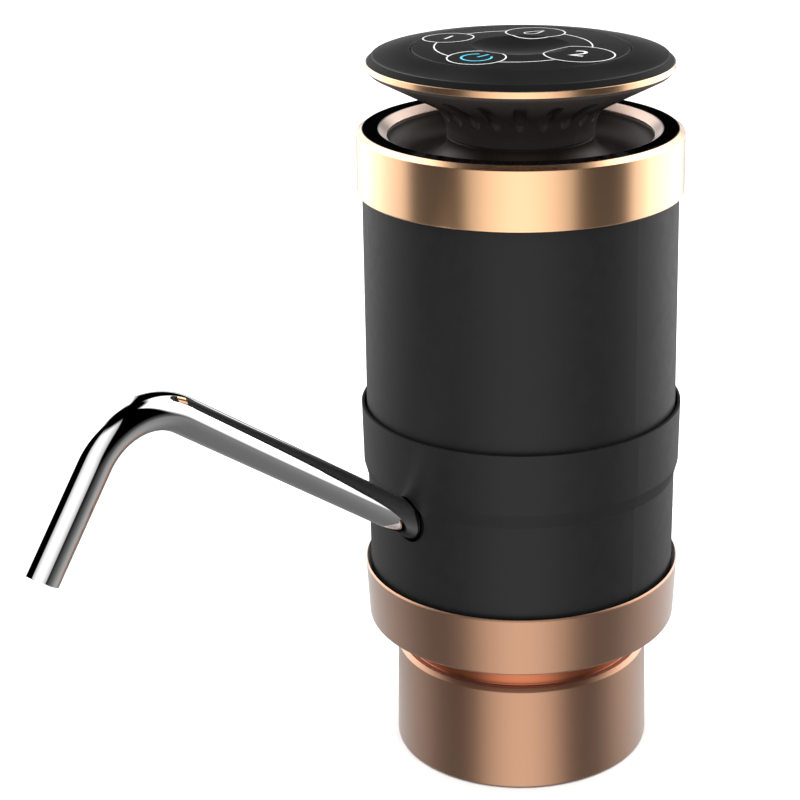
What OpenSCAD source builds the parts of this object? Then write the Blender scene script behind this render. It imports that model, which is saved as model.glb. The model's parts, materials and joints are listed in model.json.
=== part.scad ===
// Rechargeable electric pump for a large water bottle.
// The collar drops over the bottle's neck, and its open rim is the origin.
// +Z is up, and the spout points along -Y.

/* [Bottle collar] */
// Radius of the bottle neck that the collar fits over
bottle_r = 27.5; // [26.5:0.1:28.5]
// Radial clearance between the neck and the collar
neck_gap = 0.3; // [0.1:0.05:0.45]
// Wall of the collar at its top
collar_wall = 2.6; // [2:0.1:3.5]
// How much wider the collar is at its open rim
collar_flare = 0.4; // [0:0.1:0.8]
// Height of the collar's plain outside
collar_h = 24.75; // [22:0.25:28]
// Height of the bevel above it
bevel_h = 0.95; // [0.5:0.05:1.5]
// Run of the bevel
bevel_run = 0.9; // [0.5:0.05:1.2]
// Depth of the close-fitting land inside the collar
land_h = 12; // [9:0.5:12.5]
// Height of the recessed groove above the collar
groove_h = 7.3; // [6:0.1:9]
// Depth of the groove
groove_depth = 2; // [1.2:0.1:2.2]
// Thickness of the floor that carries the pump
floor_t = 3; // [2.5:0.1:3.5]
// Thickness of the silicone neck seal
seal_t = 2.2; // [1.5:0.1:2.6]

/* [Lower casing] */
// Step from the groove out to the two barrels
barrel_step = 8.4; // [8:0.1:10]
// Wall of the barrels
barrel_wall = 2.2; // [2:0.1:2.4]
// How much the lower barrel narrows towards its foot
barrel_draft = 0.4; // [0:0.1:0.6]
// Height of the lower trim ring
ring_h = 14.3; // [10:0.1:16]
// How far the ring's foot stands outside the barrel
ring_proud = 0.2; // [0.1:0.1:1.8]
// How much wider the ring is at its lip
ring_flare = 0.7; // [0.4:0.1:1]
// Thickness of the trim ring's floor
ring_floor = 1.4; // [1:0.1:2]
// Thickness of the lower barrel's floor
barrel_floor = 4; // [3.5:0.1:5]
// Height from the barrel's foot to the widened band
shank_h = 35.1; // [33:0.1:38]
// Height of the cone that widens into the band
band_cone_h = 3.5; // [2:0.1:5]
// Height of the band
band_h = 14.4; // [12:0.1:17]
// How far the band's foot stands outside the barrel
band_proud = 0.94; // [0.9:0.02:1.4]
// How much wider the band is at its lip
band_flare = 0.29; // [0.1:0.01:0.6]
// Open gap between the band's lip and the upper barrel
lip_gap = 0.6; // [0.3:0.1:0.8]
// Depth of that gap
lip_depth = 3.4; // [2:0.1:4]

/* [Upper casing] */
// Height of the upper barrel above its gasket
upper_h = 67; // [65:0.5:72]
// How far the upper trim ring stands outside the barrel
cap_proud = 1.16; // [0.8:0.02:1.6]
// Height of the upper trim ring's wall
cap_h = 13.6; // [10:0.1:16]
// Height of that wall above the upper barrel's end
cap_rise = 1.1; // [0.8:0.1:1.6]
// Height of the bevel at the top of that ring
cap_bevel_h = 1.05; // [0.6:0.05:1.4]
// Run of that bevel
cap_bevel_run = 1.46; // [0.8:0.02:1.5]
// Width of the flat glossy annulus inside it
annulus_w = 3.6; // [3:0.1:4]
// Run of the bright bezel that slopes into the bowl
bezel_run = 2; // [1:0.1:2.5]
// Drop of that bezel
bezel_drop = 1.6; // [1:0.1:1.9]
// Depth of the bowl below the bezel
bowl_depth = 5.8; // [4.5:0.1:6.2]
// Drop from the bezel's lower edge to the seam round the stem
hub_drop = 0.25; // [0:0.05:0.5]

/* [Head] */
// Radius of the head's stem
stem_r = 17.1; // [16:0.1:18.5]
// Radius of the sweep from the stem into the flare
sweep_r = 8; // [6:0.1:9]
// Slope of the flare's underside
flare_angle = 27.8; // [24:0.1:31]
// Height of the head's lower lip above the upper trim ring
flare_h = 13.25; // [12.5:0.05:15]
// How far the flare's lip stays inside the upper trim ring
flare_inset = 3.36; // [2.5:0.02:4.5]
// Height of the black lip under the bright rim
lip_h = 0.9; // [0.5:0.1:1.2]
// Height of the bright rim of the head
rim_h = 1.5; // [1:0.1:2.5]
// How far the bright rim stands outside the flare's lip
rim_proud = 0.8; // [0.6:0.1:1.2]
// Height of the touch panel's bevel
panel_bevel_h = 1.2; // [0.8:0.1:1.6]
// Run of that bevel
panel_bevel_run = 1.1; // [0.8:0.1:1.6]
// How far the touch panel stands inside the bright rim
panel_inset = 0.3; // [0.2:0.1:0.8]
// Rise of the touch panel from its bevel to its middle
crown_h = 2.2; // [1.6:0.1:3]
// Width of the touch panel outside its fine groove
panel_border = 8.6; // [7:0.1:10]
// Radius of the shallow dish in the middle
dish_r = 11.2; // [9:0.1:13]
// Depth of the dish
dish_depth = 0.9; // [0.5:0.1:1.1]
// Number of pockets round the flare
pocket_count = 22; // [16:1:24]
// Width of a pocket
pocket_w = 3; // [2.4:0.1:3.2]
// Depth of a pocket
pocket_depth = 1.45; // [1:0.05:1.6]

/* [Spout] */
// Radius of the spout tube
tube_r = 4; // [3.5:0.1:4.2]
// Wall of the spout tube
tube_wall = 0.5; // [0.4:0.05:0.8]
// Height of the spout's hole above the barrel's foot
hole_rise = 32.3; // [31:0.1:33]
// Radius of the hole in the lower barrel
hole_r = 5.2; // [5:0.1:5.6]
// Climb of the first leg from the horizontal
climb = 35; // [32:0.5:38]
// Fall of the second leg from the horizontal
fall = 56.7; // [45:0.5:65]
// Length of the first leg, from the barrel to the bend's corner
leg1 = 90.6; // [60:0.1:110]
// Length of the second leg, from the corner to the outlet
leg2 = 40.7; // [30:0.1:60]
// Radius of the bend along the tube's middle line
bend_r = 15.5; // [12:0.5:18]

/* [Pump] */
// Distance between the two gears' axes
gear_span = 12; // [11:0.1:12.5]
// Teeth on each gear
gear_teeth = 10; // [9:1:12]
// Height of the gears
gear_h = 6; // [5:0.1:6.5]
// Thickness of the pump's cover
cover_t = 3; // [2.5:0.1:3.5]
// Thickness of the cover's gasket
gasket_t = 0.4; // [0.3:0.05:0.6]
// Thickness of the pump body above the gears
pump_roof = 2.8; // [2.5:0.1:3.5]
// Thickness of the motor's bracket
bracket_t = 2.5; // [2:0.1:3]
// Radius of the motor's shaft
shaft_r = 1.15; // [1:0.05:1.5]
// Radius of the idler gear's pin
idler_pin_r = 2; // [1.5:0.1:2.2]
// Radius of the valve ball
ball_r = 2.8; // [2.5:0.1:2.9]
// Lift of the valve ball
ball_lift = 1.5; // [1:0.1:1.6]
// Radius of the suction spigot
spigot_r = 3.2; // [3:0.1:4]
// Length of the suction spigot
spigot_h = 8; // [6:0.1:8.5]

/* [Motor and electrics] */
// Radius of the motor's can
motor_r = 12.2; // [11.5:0.1:12.4]
// Length of the motor's can
motor_h = 28.5; // [26:0.1:30]
// Radius of the battery cell
cell_r = 9.1; // [8.5:0.1:9.3]
// Height of the battery cell
cell_h = 50; // [40:1:50]
// Width of the main board
board_w = 28; // [24:0.5:29]
// Height of the main board
board_h = 50; // [45:0.5:52]
// Free margin round the touch board
touch_margin = 3.6; // [3:0.1:6]
// Thickness of both circuit boards
pcb_t = 1.6; // [1:0.1:1.6]
// Width of the charging socket
usb_w = 7.8; // [7:0.1:9]
// Height of the charging socket
usb_h = 2.9; // [2.5:0.1:3.4]

/* [Fits] */
// Radial clearance of a running fit
run_gap = 0.03; // [0.02:0.01:0.06]
// Gap between pieces that are pressed or glued into each other
seat_gap = 0.01; // [0.01:0.01:0.02]
// Free clearance round pieces that other things hold
fit_gap = 0.3; // [0.3:0.05:0.4]
// Radius of a small screw's shank
screw_r = 1.25; // [1:0.05:1.3]
// Radius of a small screw's head
screw_head_r = 2.3; // [2:0.1:2.4]
// Height of a small screw's head
screw_head_h = 1.6; // [1.2:0.1:1.8]

/* [Hidden] */
$fn = 96;

// Overrun of every cut
cut = 1;
// Thin lips, ledges and small edges
lip_t = 0.4;
lip_bevel = 0.5;

// Colours
rose = [0.86, 0.66, 0.52];
copper = [0.72, 0.55, 0.46];
black = [0.17, 0.17, 0.18];
gloss = [0.05, 0.05, 0.05];
rubber = [0.09, 0.09, 0.10];
steel = [0.75, 0.76, 0.78];
brass = [0.78, 0.64, 0.34];
nylon = [0.88, 0.88, 0.85];
pcb = [0.06, 0.33, 0.18];

// Radii and heights of the collar
land_r = bottle_r + neck_gap;
relief = 0.3;
relief_r = land_r + relief;
collar_r = land_r + collar_wall;
groove_r = collar_r - groove_depth;
barrel_r = groove_r + barrel_step;
neck_bore_r = groove_r - barrel_wall;
z_groove = collar_h + bevel_h;
z_ring = z_groove + groove_h;
z_barrel = z_ring + ring_floor;
z_flange = z_barrel + barrel_floor;
flange_t = 2.2;
barrel_bore_r = barrel_r - barrel_wall;
flange_r = barrel_bore_r - 0.45 * barrel_wall;
z_floor = collar_h;
z_web = z_floor - floor_t;
z_seal = z_web - seal_t;
seal_bore_share = 0.86;
base_screw_r = (neck_bore_r + flange_r) / 2 + 0.7 * screw_r;
base_screw_count = 4;
base_screw_h = flange_t + 0.75 * barrel_floor;

// Radii of the rings and the band
ring_foot_r = barrel_r + ring_proud;
ring_lip_r = ring_foot_r + ring_flare;
band_foot_r = barrel_r + band_proud;
band_r = band_foot_r + band_flare;
cap_r = barrel_r + cap_proud;

// Heights of the casing
z_ring_lip = z_ring + ring_h;
z_shank = z_barrel + shank_h;
z_band = z_shank + band_cone_h;
z_lip = z_band + band_h;
z_ledge = z_lip - lip_depth;
body_gasket_t = 0.6;
z_upper = z_ledge + body_gasket_t;
z_upper_top = z_upper + upper_h;
cap_bore_r = barrel_r + seat_gap;
z_cap_wall = z_upper_top + cap_rise;
z_rim = z_cap_wall + cap_bevel_h;
z_cap_foot = z_cap_wall - cap_h;
spigot_wall = 1.5;
spigot_len = 6;
socket_r = barrel_bore_r - seat_gap;
spigot_bore_r = socket_r - spigot_wall;

// Radii of the top
annulus_r = cap_r - cap_bevel_run;
bezel_r = annulus_r - annulus_w;
bezel_w = annulus_w;
bowl_r = bezel_r - bezel_run;
z_bowl = z_rim - bezel_drop;
z_seat = z_upper_top;
bowl_wall = 1.8;
bowl_flange_t = 2.6;
hub_bore_r = 9;
hub_shoulder = 2.1;
hub_recess_r = stem_r - hub_shoulder;
hub_recess_h = 3.5;
bowl_mid_r = (bowl_r + stem_r) / 2;
bowl_half = (bowl_r - stem_r) / 2;
bowl_steps = 16;
bowl_screw_r = annulus_r - 1.1 * bezel_w;
bowl_screw_shank = 0.8 * screw_r;
bowl_screw_head = 0.65 * screw_head_r;
z_bowl_flange = z_seat - bowl_flange_t;
z_bowl_foot = z_seat - bowl_depth;
z_hub = z_bowl - hub_drop;
stem_screw_r = (hub_bore_r + hub_recess_r) / 2;
boss_step = 1.5 * bowl_wall;

// The head's flare
flare_r = cap_r - flare_inset;
z_flare = z_rim + flare_h;
cone_z = z_flare - (flare_r - stem_r) * tan(flare_angle);
z_sweep = cone_z - sweep_r * tan((90 - flare_angle) / 2);
sweep_steps = 8;
stem_bore_r = 8;
z_head = z_flare + lip_h;
z_panel = z_head + rim_h;
rim_r = flare_r + rim_proud;
rim_w = 1.9;
panel_r = rim_r - panel_inset;
panel_edge_r = panel_r - panel_bevel_run;
panel_groove_r = panel_edge_r - panel_border;
z_panel_edge = z_panel + panel_bevel_h;
z_crown = z_panel_edge + crown_h;
crown_share = 0.27;
groove_w = 0.5;
groove_d = 0.3;
panel_steps = 10;
panel_wall_r = rim_r - rim_w - seat_gap;
panel_rib_w = 1.9;
pocket_lead = 0.8;
pocket_end = 4.6;
pocket_in_r = stem_r + pocket_lead;
pocket_out_r = flare_r - pocket_end;

// The spout
z_hole = z_barrel + hole_rise;
hole_inset = 0.5;
hole_y = barrel_r - hole_inset;
hole_recess = 1.2;
bore_r = tube_r - tube_wall;
turn = climb + fall;
bend_cut = bend_r * tan(turn / 2);
tube_in = 14.5;
tube_swell = 0.02;
tube_lap = 0.3;
ring_section = 0.85;
socket_end = 18;
socket_body_r = 6.8;
socket_seal_r = tube_r + run_gap + 2 * ring_section;
barb_r = 3.4;
barb_bore_r = 2.4;
barb_h = 5.5;
seal_shares = [0.36, 0.58];

// The pump
drive_x = -gear_span / 2;
idler_x = gear_span / 2;
pump_y = 8;
gear_module = gear_span / gear_teeth;
tip_r = gear_span / 2 + gear_module;
root_r = gear_span / 2 - 1.25 * gear_module;
pressure_angle = 28;
base_r = gear_span / 2 * cos(pressure_angle);
backlash = 0.12;
flank_steps = 5;
gear_gap = 0.1;
chamber_r = tip_r + gear_gap;
z_cover = z_floor;
z_gasket = z_cover + cover_t;
z_gears = z_gasket + gasket_t + gear_gap;
z_roof = z_gears + gear_h + gear_gap;
z_pump = z_roof + pump_roof;
z_motor = z_pump + bracket_t;
z_motor_cap = z_motor + motor_h;
port_w = 4.6;
inlet_y = pump_y + 0.8 * gear_span;
hose_run = 25.8;
outlet_y = hose_run - hole_y;
outlet_r = 5.4;
inlet_r = 6.2;
inlet_body_r = 4.8;
inlet_bore_r = 1.7;
inlet_flange_r = 5.5;
inlet_flange_t = 1;
cage_gap = 1;
cage_r = ball_r + cage_gap;
cage_rib = 0.9;
block_x = 18.5;
block_low_y = -3;
block_high_y = 18;
ear_r = 3.2;
// Places of the pump's screws, as shares of the neck's bore
pump_screw_shares = [[0.60, 0.54], [0.60, 0.08], [-0.54, -0.25], [-0.82, 0.27]];
pump_screw_h = z_motor - z_cover + 0.6 * floor_t;
z_spigot = z_web - spigot_h;
// The ball touches its 45 degree seat a share of its radius below its middle
ball_seat_share = 0.7071;
z_ball_seat = z_gasket - 0.2 * cover_t;
z_ball = z_ball_seat + ball_r * ball_seat_share + seat_gap;
ball_stop_r = 1;

// The outlet hose
hose_r = 5;
hose_bore_r = barb_r + seat_gap;
hose_turn = 90 - climb;
hose_bend_r = 11;
hose_swell = 0.25;
hose_lap = 0.5;
z_hose_corner = z_hole - hose_run * tan(climb);
hose_tangent = hose_bend_r * tan(hose_turn / 2);
hose_incline = hose_run / cos(climb) - hose_tangent;
clamp_t = 0.8;
clamp_w = 3;

// The motor
can_wall = 0.8;
boss_r = 3;
boss_h = 1.5;
end_cap_t = 2.5;
core_r = 8.6;
core_h = 14;
magnet_in_r = 9.3;
magnet_h = 18;
comm_r = 2.8;
comm_h = 5;
comm_slot = 0.4;
brush_w = 2;
motor_screw_x = 8.5;
motor_screw_r = 1;
motor_screw_head_r = 1.9;
motor_screw_head_h = 1.4;
terminal_w = 2.4;
terminal_t = 0.5;
terminal_h = 3.4;
bush_floor = 0.5;
z_shaft = z_cover + 2 * bush_floor;
shaft_h = z_motor_cap + end_cap_t - z_shaft;
bush_r = 3;
motor_bush_r = 2.2;
seal_r = 3.6;
seal_h = 2;

// The carrier plate and what stands on it
plate_t = 2.4;
plate_r = barrel_bore_r - seat_gap;
z_plate = z_upper - spigot_len - plate_t;
plate_boss_r = 2.8;
plate_boss_h = 9;
plate_screw_r = spigot_bore_r - screw_head_r - fit_gap;
plate_start = 90;
collar_drop = 2;
lead_hole_r = 5;
post_share = 0.8;
z_deck = z_plate + plate_t;
holder_wall = 1.8;
cell_margin = 6.2;
cell_y = cell_r + holder_wall + cell_margin - spigot_bore_r;
holder_floor = 1.6;
contact_t = 0.5;
z_cell = z_deck + holder_floor + contact_t;
post_w = 3.6;
post_d = 3.8;
post_margin = 0.4;
slot_grip = 1.2;
post_reach_x = board_w / 2 - slot_grip + post_w;
post_reach_y = sqrt(pow(spigot_bore_r - post_margin, 2) - pow(post_reach_x, 2));
board_y = post_reach_y - (pcb_t + post_d) / 2;
z_board = z_deck;
usb_rise = 15;
usb_z = z_board + usb_rise;
usb_depth = 7;
port_margin = 0.8;
port_recess = 0.8;
z_touch = z_head + fit_gap;
touch_r = panel_wall_r - panel_rib_w - touch_margin;
touch_stud_r = 1.2;
touch_shoulder_r = 2.2;
stud_start = 30;
touch_ring_r = 16.5;
contact_r = 2.6;
led_size = 1.6;

// The ribbon cable
ribbon_w = 10;
ribbon_t = 0.3;
ribbon_end_share = 0.93;
clip_share = 0.9;
ribbon_y = 5;
ribbon_drop = 10.5;
z_ribbon_low = z_upper_top - ribbon_drop;

module ring_of(count, radius, start = 0) {
    for (i = [0 : count - 1])
        rotate(start + i * 360 / count) translate([radius, 0, 0]) children();
}

module pipe(outer, inner, height) {
    difference() {
        cylinder(r = outer, h = height);
        translate([0, 0, -cut]) cylinder(r = inner, h = height + 2 * cut);
    }
}

module post(radius, z0, z1) {
    translate([0, 0, z0]) cylinder(r = radius, h = z1 - z0);
}

// A screw that points down, with its head standing on z = 0
module screw(shank, head, head_h, length) {
    post(shank, -length, head_h / 2);
    difference() {
        post(head, 0, head_h);
        translate([-head, -0.12 * head, head_h / 2]) cube([2 * head, 0.24 * head, head_h]);
        translate([-0.12 * head, -head, head_h / 2]) cube([0.24 * head, 2 * head, head_h]);
    }
}

// Places along the spout's first leg: the z axis runs inwards from the hole
module inward() {
    translate([0, -hole_y, z_hole]) rotate([-90 - climb, 0, 0]) children();
}

module bottle_collar() {
    color(copper) difference() {
        rotate_extrude() polygon([
            [land_r, 0], [collar_r + collar_flare, 0], [collar_r, collar_h],
            [collar_r - bevel_run, z_groove], [groove_r, z_groove], [groove_r, z_flange],
            [flange_r, z_flange], [flange_r, z_flange + flange_t],
            [neck_bore_r, z_flange + flange_t], [neck_bore_r, z_floor], [0, z_floor],
            [0, z_web], [relief_r, z_web], [relief_r, land_h], [land_r, land_h]
        ]);
        translate([0, inlet_y, 0]) post(inlet_body_r + seat_gap, z_web - cut, z_floor + cut);
        ring_of(base_screw_count, base_screw_r, 45)
            post(screw_r + seat_gap, z_flange - cut, z_flange + flange_t + cut);
        pump_screw_places() post(screw_r + seat_gap, z_floor - 0.7 * floor_t, z_floor + cut);
    }
}

module neck_seal() {
    color(rubber) translate([0, 0, z_seal])
        pipe(relief_r - seat_gap, relief_r * seal_bore_share, seal_t);
}

module lower_trim_ring() {
    color(copper) rotate_extrude() polygon([
        [groove_r + seat_gap, z_ring], [ring_foot_r - lip_t, z_ring],
        [ring_foot_r, z_ring + lip_t],
        [ring_lip_r, z_ring_lip - lip_bevel], [ring_lip_r - lip_t, z_ring_lip],
        [barrel_r - barrel_draft + seat_gap, z_barrel], [groove_r + seat_gap, z_barrel]
    ]);
}

module lower_barrel() {
    bore = barrel_bore_r;
    color(black) difference() {
        union() {
            rotate_extrude() polygon([
                [groove_r + seat_gap, z_barrel], [barrel_r - barrel_draft, z_barrel],
                [barrel_r, z_shank], [band_foot_r, z_band], [band_r, z_lip],
                [barrel_r + lip_gap, z_lip], [barrel_r + lip_gap, z_ledge], [bore, z_ledge],
                [bore, z_flange], [groove_r + seat_gap, z_flange]
            ]);
            intersection() {
                ring_of(3, plate_screw_r, plate_start) difference() {
                    union() {
                        post(plate_boss_r, z_plate - plate_boss_h, z_plate);
                        translate([0, -plate_boss_r / 2, z_plate - plate_boss_h])
                            cube([plate_screw_r / 2, plate_boss_r, plate_boss_h]);
                    }
                    post(screw_r + seat_gap, z_plate - 0.8 * plate_boss_h, z_plate + cut);
                }
                post(barrel_r - barrel_wall / 2, z_barrel, z_ledge);
            }
        }
        ring_of(base_screw_count, base_screw_r, 45)
            post(screw_r + seat_gap, z_flange - 0.85 * barrel_floor, z_flange + cut);
        translate([0, -hole_y, z_hole]) rotate([90, 0, 0])
            translate([0, 0, -hole_recess]) cylinder(r = hole_r, h = hole_recess + 3 * cut);
        inward() translate([0, 0, -2 * tube_r]) cylinder(r = tube_r + fit_gap, h = 6 * tube_r);
    }
}

module base_screws() {
    color(steel) ring_of(base_screw_count, base_screw_r, 45) translate([0, 0, z_flange + flange_t])
        screw(screw_r, screw_head_r, screw_head_h, base_screw_h);
}

module body_gasket() {
    color(rubber) translate([0, 0, z_ledge])
        pipe(barrel_r - lip_t, barrel_bore_r + lip_t, body_gasket_t);
}

module upper_barrel() {
    inner = spigot_bore_r;
    color(black) difference() {
        union() {
            rotate_extrude() polygon([
                [inner, z_upper - spigot_len], [socket_r, z_upper - spigot_len],
                [socket_r, z_upper], [barrel_r, z_upper], [barrel_r, z_upper_top],
                [barrel_bore_r, z_upper_top], [barrel_bore_r, z_upper + 2 * barrel_wall],
                [inner, z_upper + barrel_wall]
            ]);
            intersection() {
                ring_of(4, bowl_screw_r, 45) difference() {
                    post(screw_head_r, z_bowl_flange - 4 * barrel_wall, z_bowl_flange);
                    post(bowl_screw_shank + seat_gap, z_bowl_flange - 3 * barrel_wall,
                        z_bowl_flange + cut);
                }
                difference() {
                    post(barrel_r - barrel_wall / 2, z_upper, z_upper_top);
                    post(bowl_r + bowl_wall + fit_gap, z_bowl_flange - boss_step,
                        z_upper_top + cut);
                }
            }
        }
        usb_opening(usb_w / 2 + port_margin, usb_h / 2 + port_margin, barrel_bore_r - cut);
        usb_opening(usb_w / 2 + 2 * port_margin, usb_h / 2 + 2 * port_margin,
            barrel_r - port_recess);
    }
}

// A rounded slot through the rear wall, from radius start outwards
module usb_opening(half_w, half_h, start) {
    translate([0, start, usb_z]) rotate([-90, 0, 0]) {
        for (side = [-1, 1]) translate([side * (half_w - half_h), 0, 0])
            cylinder(r = half_h, h = barrel_wall + 2 * cut);
        translate([half_h - half_w, -half_h, 0])
            cube([2 * (half_w - half_h), 2 * half_h, barrel_wall + 2 * cut]);
    }
}

module upper_trim_ring() {
    color(rose) rotate_extrude() polygon([
        [cap_bore_r, z_cap_foot], [cap_r, z_cap_foot], [cap_r, z_cap_wall], [annulus_r, z_rim],
        [annulus_r, z_upper_top], [cap_bore_r, z_upper_top]
    ]);
}

module top_annulus() {
    color(gloss) translate([0, 0, z_seat])
        pipe(annulus_r - seat_gap, bezel_r + seat_gap, z_rim - z_seat);
}

module bowl_bezel() {
    color(rose) rotate_extrude() polygon([
        [bowl_r, z_seat], [bezel_r, z_seat], [bezel_r, z_rim], [bowl_r, z_bowl]
    ]);
}

// The bowl's surface, from its rim down and up again to the hub
function bowl_curve(half, depth) = [for (i = [0 : bowl_steps])
    [bowl_mid_r + half * cos(180 * i / bowl_steps), z_seat - depth * sin(180 * i / bowl_steps)]];

module bowl() {
    top_depth = bowl_depth - (z_bowl - z_seat);
    above = bowl_curve(bowl_half, top_depth);
    below = bowl_curve(bowl_half + bowl_wall, top_depth + bowl_wall);
    color(gloss) difference() {
        rotate_extrude() polygon(concat(above, [
            [stem_r, z_hub], [hub_recess_r, z_hub], [hub_recess_r, z_hub - hub_recess_h],
            [hub_bore_r, z_hub - hub_recess_h], [hub_bore_r, z_bowl_foot],
            [stem_screw_r + screw_head_r + fit_gap, z_bowl_foot]
        ], [for (i = [bowl_steps : -1 : 0])
            if (below[i][1] < (below[i][0] < bowl_mid_r ? z_bowl_foot : z_bowl_flange)) below[i]
        ], [
            [bowl_r + bowl_wall, z_bowl_flange], [barrel_bore_r - seat_gap, z_bowl_flange],
            [barrel_bore_r - seat_gap, z_seat]
        ]));
        ring_of(4, bowl_screw_r, 45) {
            post(bowl_screw_shank + seat_gap, z_bowl_flange - cut, z_seat + cut);
            post(bowl_screw_head + seat_gap, z_seat - screw_head_h, z_seat + cut);
        }
        ring_of(3, stem_screw_r, 90)
            post(screw_r + seat_gap, z_bowl_foot - cut, z_hub);
    }
}

module bowl_screws() {
    color(steel) ring_of(4, bowl_screw_r, 45) translate([0, 0, z_seat - screw_head_h])
        screw(bowl_screw_shank, bowl_screw_head, screw_head_h, bowl_flange_t + 2 * barrel_wall);
}

// Underside of the flare: stem, sweep and cone, raised by lift
function flare_curve(lift) = concat(
    [for (i = [0 : sweep_steps]) let (a = i * (90 - flare_angle) / sweep_steps)
        [stem_r + sweep_r - sweep_r * cos(a), z_sweep + sweep_r * sin(a) + lift]],
    [[flare_r, z_flare + lift]]);

module head_stem() {
    cavity_r = panel_wall_r - panel_rib_w;
    cavity_low_z = z_head - (cavity_r - hub_recess_r) * tan(flare_angle);
    color(black) difference() {
        rotate_extrude() polygon(concat(
            [[stem_bore_r, z_hub - hub_recess_h], [hub_recess_r - seat_gap, z_hub - hub_recess_h],
             [hub_recess_r - seat_gap, z_hub], [stem_r - lip_t / 2, z_hub],
             [stem_r, z_hub + lip_t]],
            flare_curve(0),
            [[flare_r + lip_t, z_flare + lip_t], [flare_r + lip_t, z_head],
             [cavity_r, z_head], [hub_recess_r, cavity_low_z],
             [stem_bore_r, cavity_low_z]]));
        pockets();
        ring_of(3, stem_screw_r, 90)
            post(screw_r + seat_gap, z_hub - hub_recess_h - cut, z_hub + 2 * screw_head_h);
    }
}

module pockets() {
    end_r = pocket_w / 2;
    intersection() {
        rotate_extrude() polygon(concat([[hub_recess_r, z_hub + lip_t]],
            flare_curve(pocket_depth), [[flare_r, z_hub + lip_t]]));
        for (i = [0 : pocket_count - 1]) rotate(-45 + i * 360 / pocket_count)
            translate([0, 0, z_hub + lip_t]) linear_extrude(z_head - z_hub) {
                translate([pocket_in_r + end_r, 0]) circle(r = end_r, $fn = 32);
                translate([pocket_out_r - end_r, 0]) circle(r = end_r, $fn = 32);
                translate([pocket_in_r + end_r, -end_r])
                    square([pocket_out_r - pocket_in_r - pocket_w, pocket_w]);
            }
    }
}

module stem_screws() {
    color(steel) ring_of(3, stem_screw_r, 90) translate([0, 0, z_bowl_foot])
        mirror([0, 0, 1])
            screw(screw_r, screw_head_r, screw_head_h,
                z_hub - z_bowl_foot + screw_head_h);
}

module head_rim_ring() {
    color(rose) translate([0, 0, z_head]) pipe(rim_r, rim_r - rim_w, rim_h);
}

// Height of the touch panel's top at radius r, without its dish
function panel_z(r) = z_crown - crown_h * crown_share * pow(r / panel_groove_r, 2)
    - (crown_h - crown_h * crown_share * pow(panel_edge_r / panel_groove_r, 2))
    * pow(max(0, r - panel_groove_r) / (panel_edge_r - panel_groove_r), 2);

module touch_panel() {
    inner_r = panel_wall_r - panel_rib_w;
    z_under = z_panel_edge;
    dish = [for (i = [0 : panel_steps]) let (r = dish_r * i / panel_steps)
        [r, panel_z(dish_r) - dish_depth * (1 - pow(i / panel_steps, 2))]];
    inner_face = [for (i = [1 : panel_steps])
        let (r = dish_r + (panel_groove_r - groove_w - dish_r) * i / panel_steps) [r, panel_z(r)]];
    outer_face = [for (i = [0 : panel_steps])
        let (r = panel_groove_r + (panel_edge_r - panel_groove_r) * i / panel_steps)
        [r, panel_z(r)]];
    color(black) {
        rotate_extrude() polygon(concat(
            dish, inner_face,
            [[panel_groove_r - groove_w, panel_z(panel_groove_r) - groove_d],
             [panel_groove_r, panel_z(panel_groove_r) - groove_d]],
            outer_face,
            [[panel_r, z_panel], [panel_wall_r, z_panel], [panel_wall_r, z_head],
             [inner_r, z_head], [inner_r, z_under], [0, z_under]]));
        ring_of(3, touch_r - 2 * touch_shoulder_r, stud_start) {
            post(touch_shoulder_r, z_touch + pcb_t, z_under + lip_t);
            post(touch_stud_r, z_touch - lip_t, z_under);
        }
    }
}

module touch_board() {
    color(pcb) difference() {
        post(touch_r, z_touch, z_touch + pcb_t);
        translate([-ribbon_w / 2 - seat_gap, ribbon_y - seat_gap, z_touch - cut])
            cube([ribbon_w + 2 * seat_gap, ribbon_t + 2 * seat_gap, pcb_t / 2 + cut]);
        ring_of(3, touch_r - 2 * touch_shoulder_r, stud_start)
            post(touch_stud_r + seat_gap, z_touch - cut, z_touch + pcb_t + cut);
    }
}

module touch_contacts() {
    color(rubber) ring_of(4, touch_ring_r)
        post(contact_r, z_touch + pcb_t, z_panel_edge);
}

module status_leds() {
    color(nylon) ring_of(4, touch_ring_r, 45)
        translate([-led_size / 2, -led_size / 2, z_touch + pcb_t])
            cube([led_size, led_size, led_size / 2]);
}

module ribbon_cable() {
    t = ribbon_t;
    top = z_touch + pcb_t / 2;
    y1 = board_y;
    low = z_board + ribbon_end_share * board_h;
    color(nylon) translate([-ribbon_w / 2, 0, 0]) rotate([90, 0, 90])
        linear_extrude(ribbon_w) polygon([
            [ribbon_y, top], [ribbon_y, z_ribbon_low], [y1 - t, z_ribbon_low], [y1 - t, low],
            [y1, low], [y1, z_ribbon_low + t], [ribbon_y + t, z_ribbon_low + t],
            [ribbon_y + t, top]
        ]);
}

module carrier_plate() {
    post_x = board_w / 2 - slot_grip;
    color(black) difference() {
        union() {
            post(plate_r, z_plate, z_deck);
            at_motor() post(motor_r + holder_wall, z_motor_cap - collar_drop, z_plate + cut);
            for (side = [0, 1]) mirror([side, 0, 0])
                translate([post_x, board_y + pcb_t / 2 - post_d / 2, z_deck - cut])
                    cube([post_w, post_d, board_h * post_share + cut]);
        }
        at_motor() {
            post(motor_r + seat_gap, z_motor_cap - collar_drop - cut, z_plate);
            post(lead_hole_r, z_plate - cut, z_deck + cut);
        }
        translate([-board_w / 2 - seat_gap, board_y - seat_gap, z_deck])
            cube([board_w + 2 * seat_gap, pcb_t + 2 * seat_gap, board_h]);
        ring_of(3, plate_screw_r, plate_start)
            post(screw_r + seat_gap, z_plate - cut, z_deck + cut);
    }
}

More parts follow.
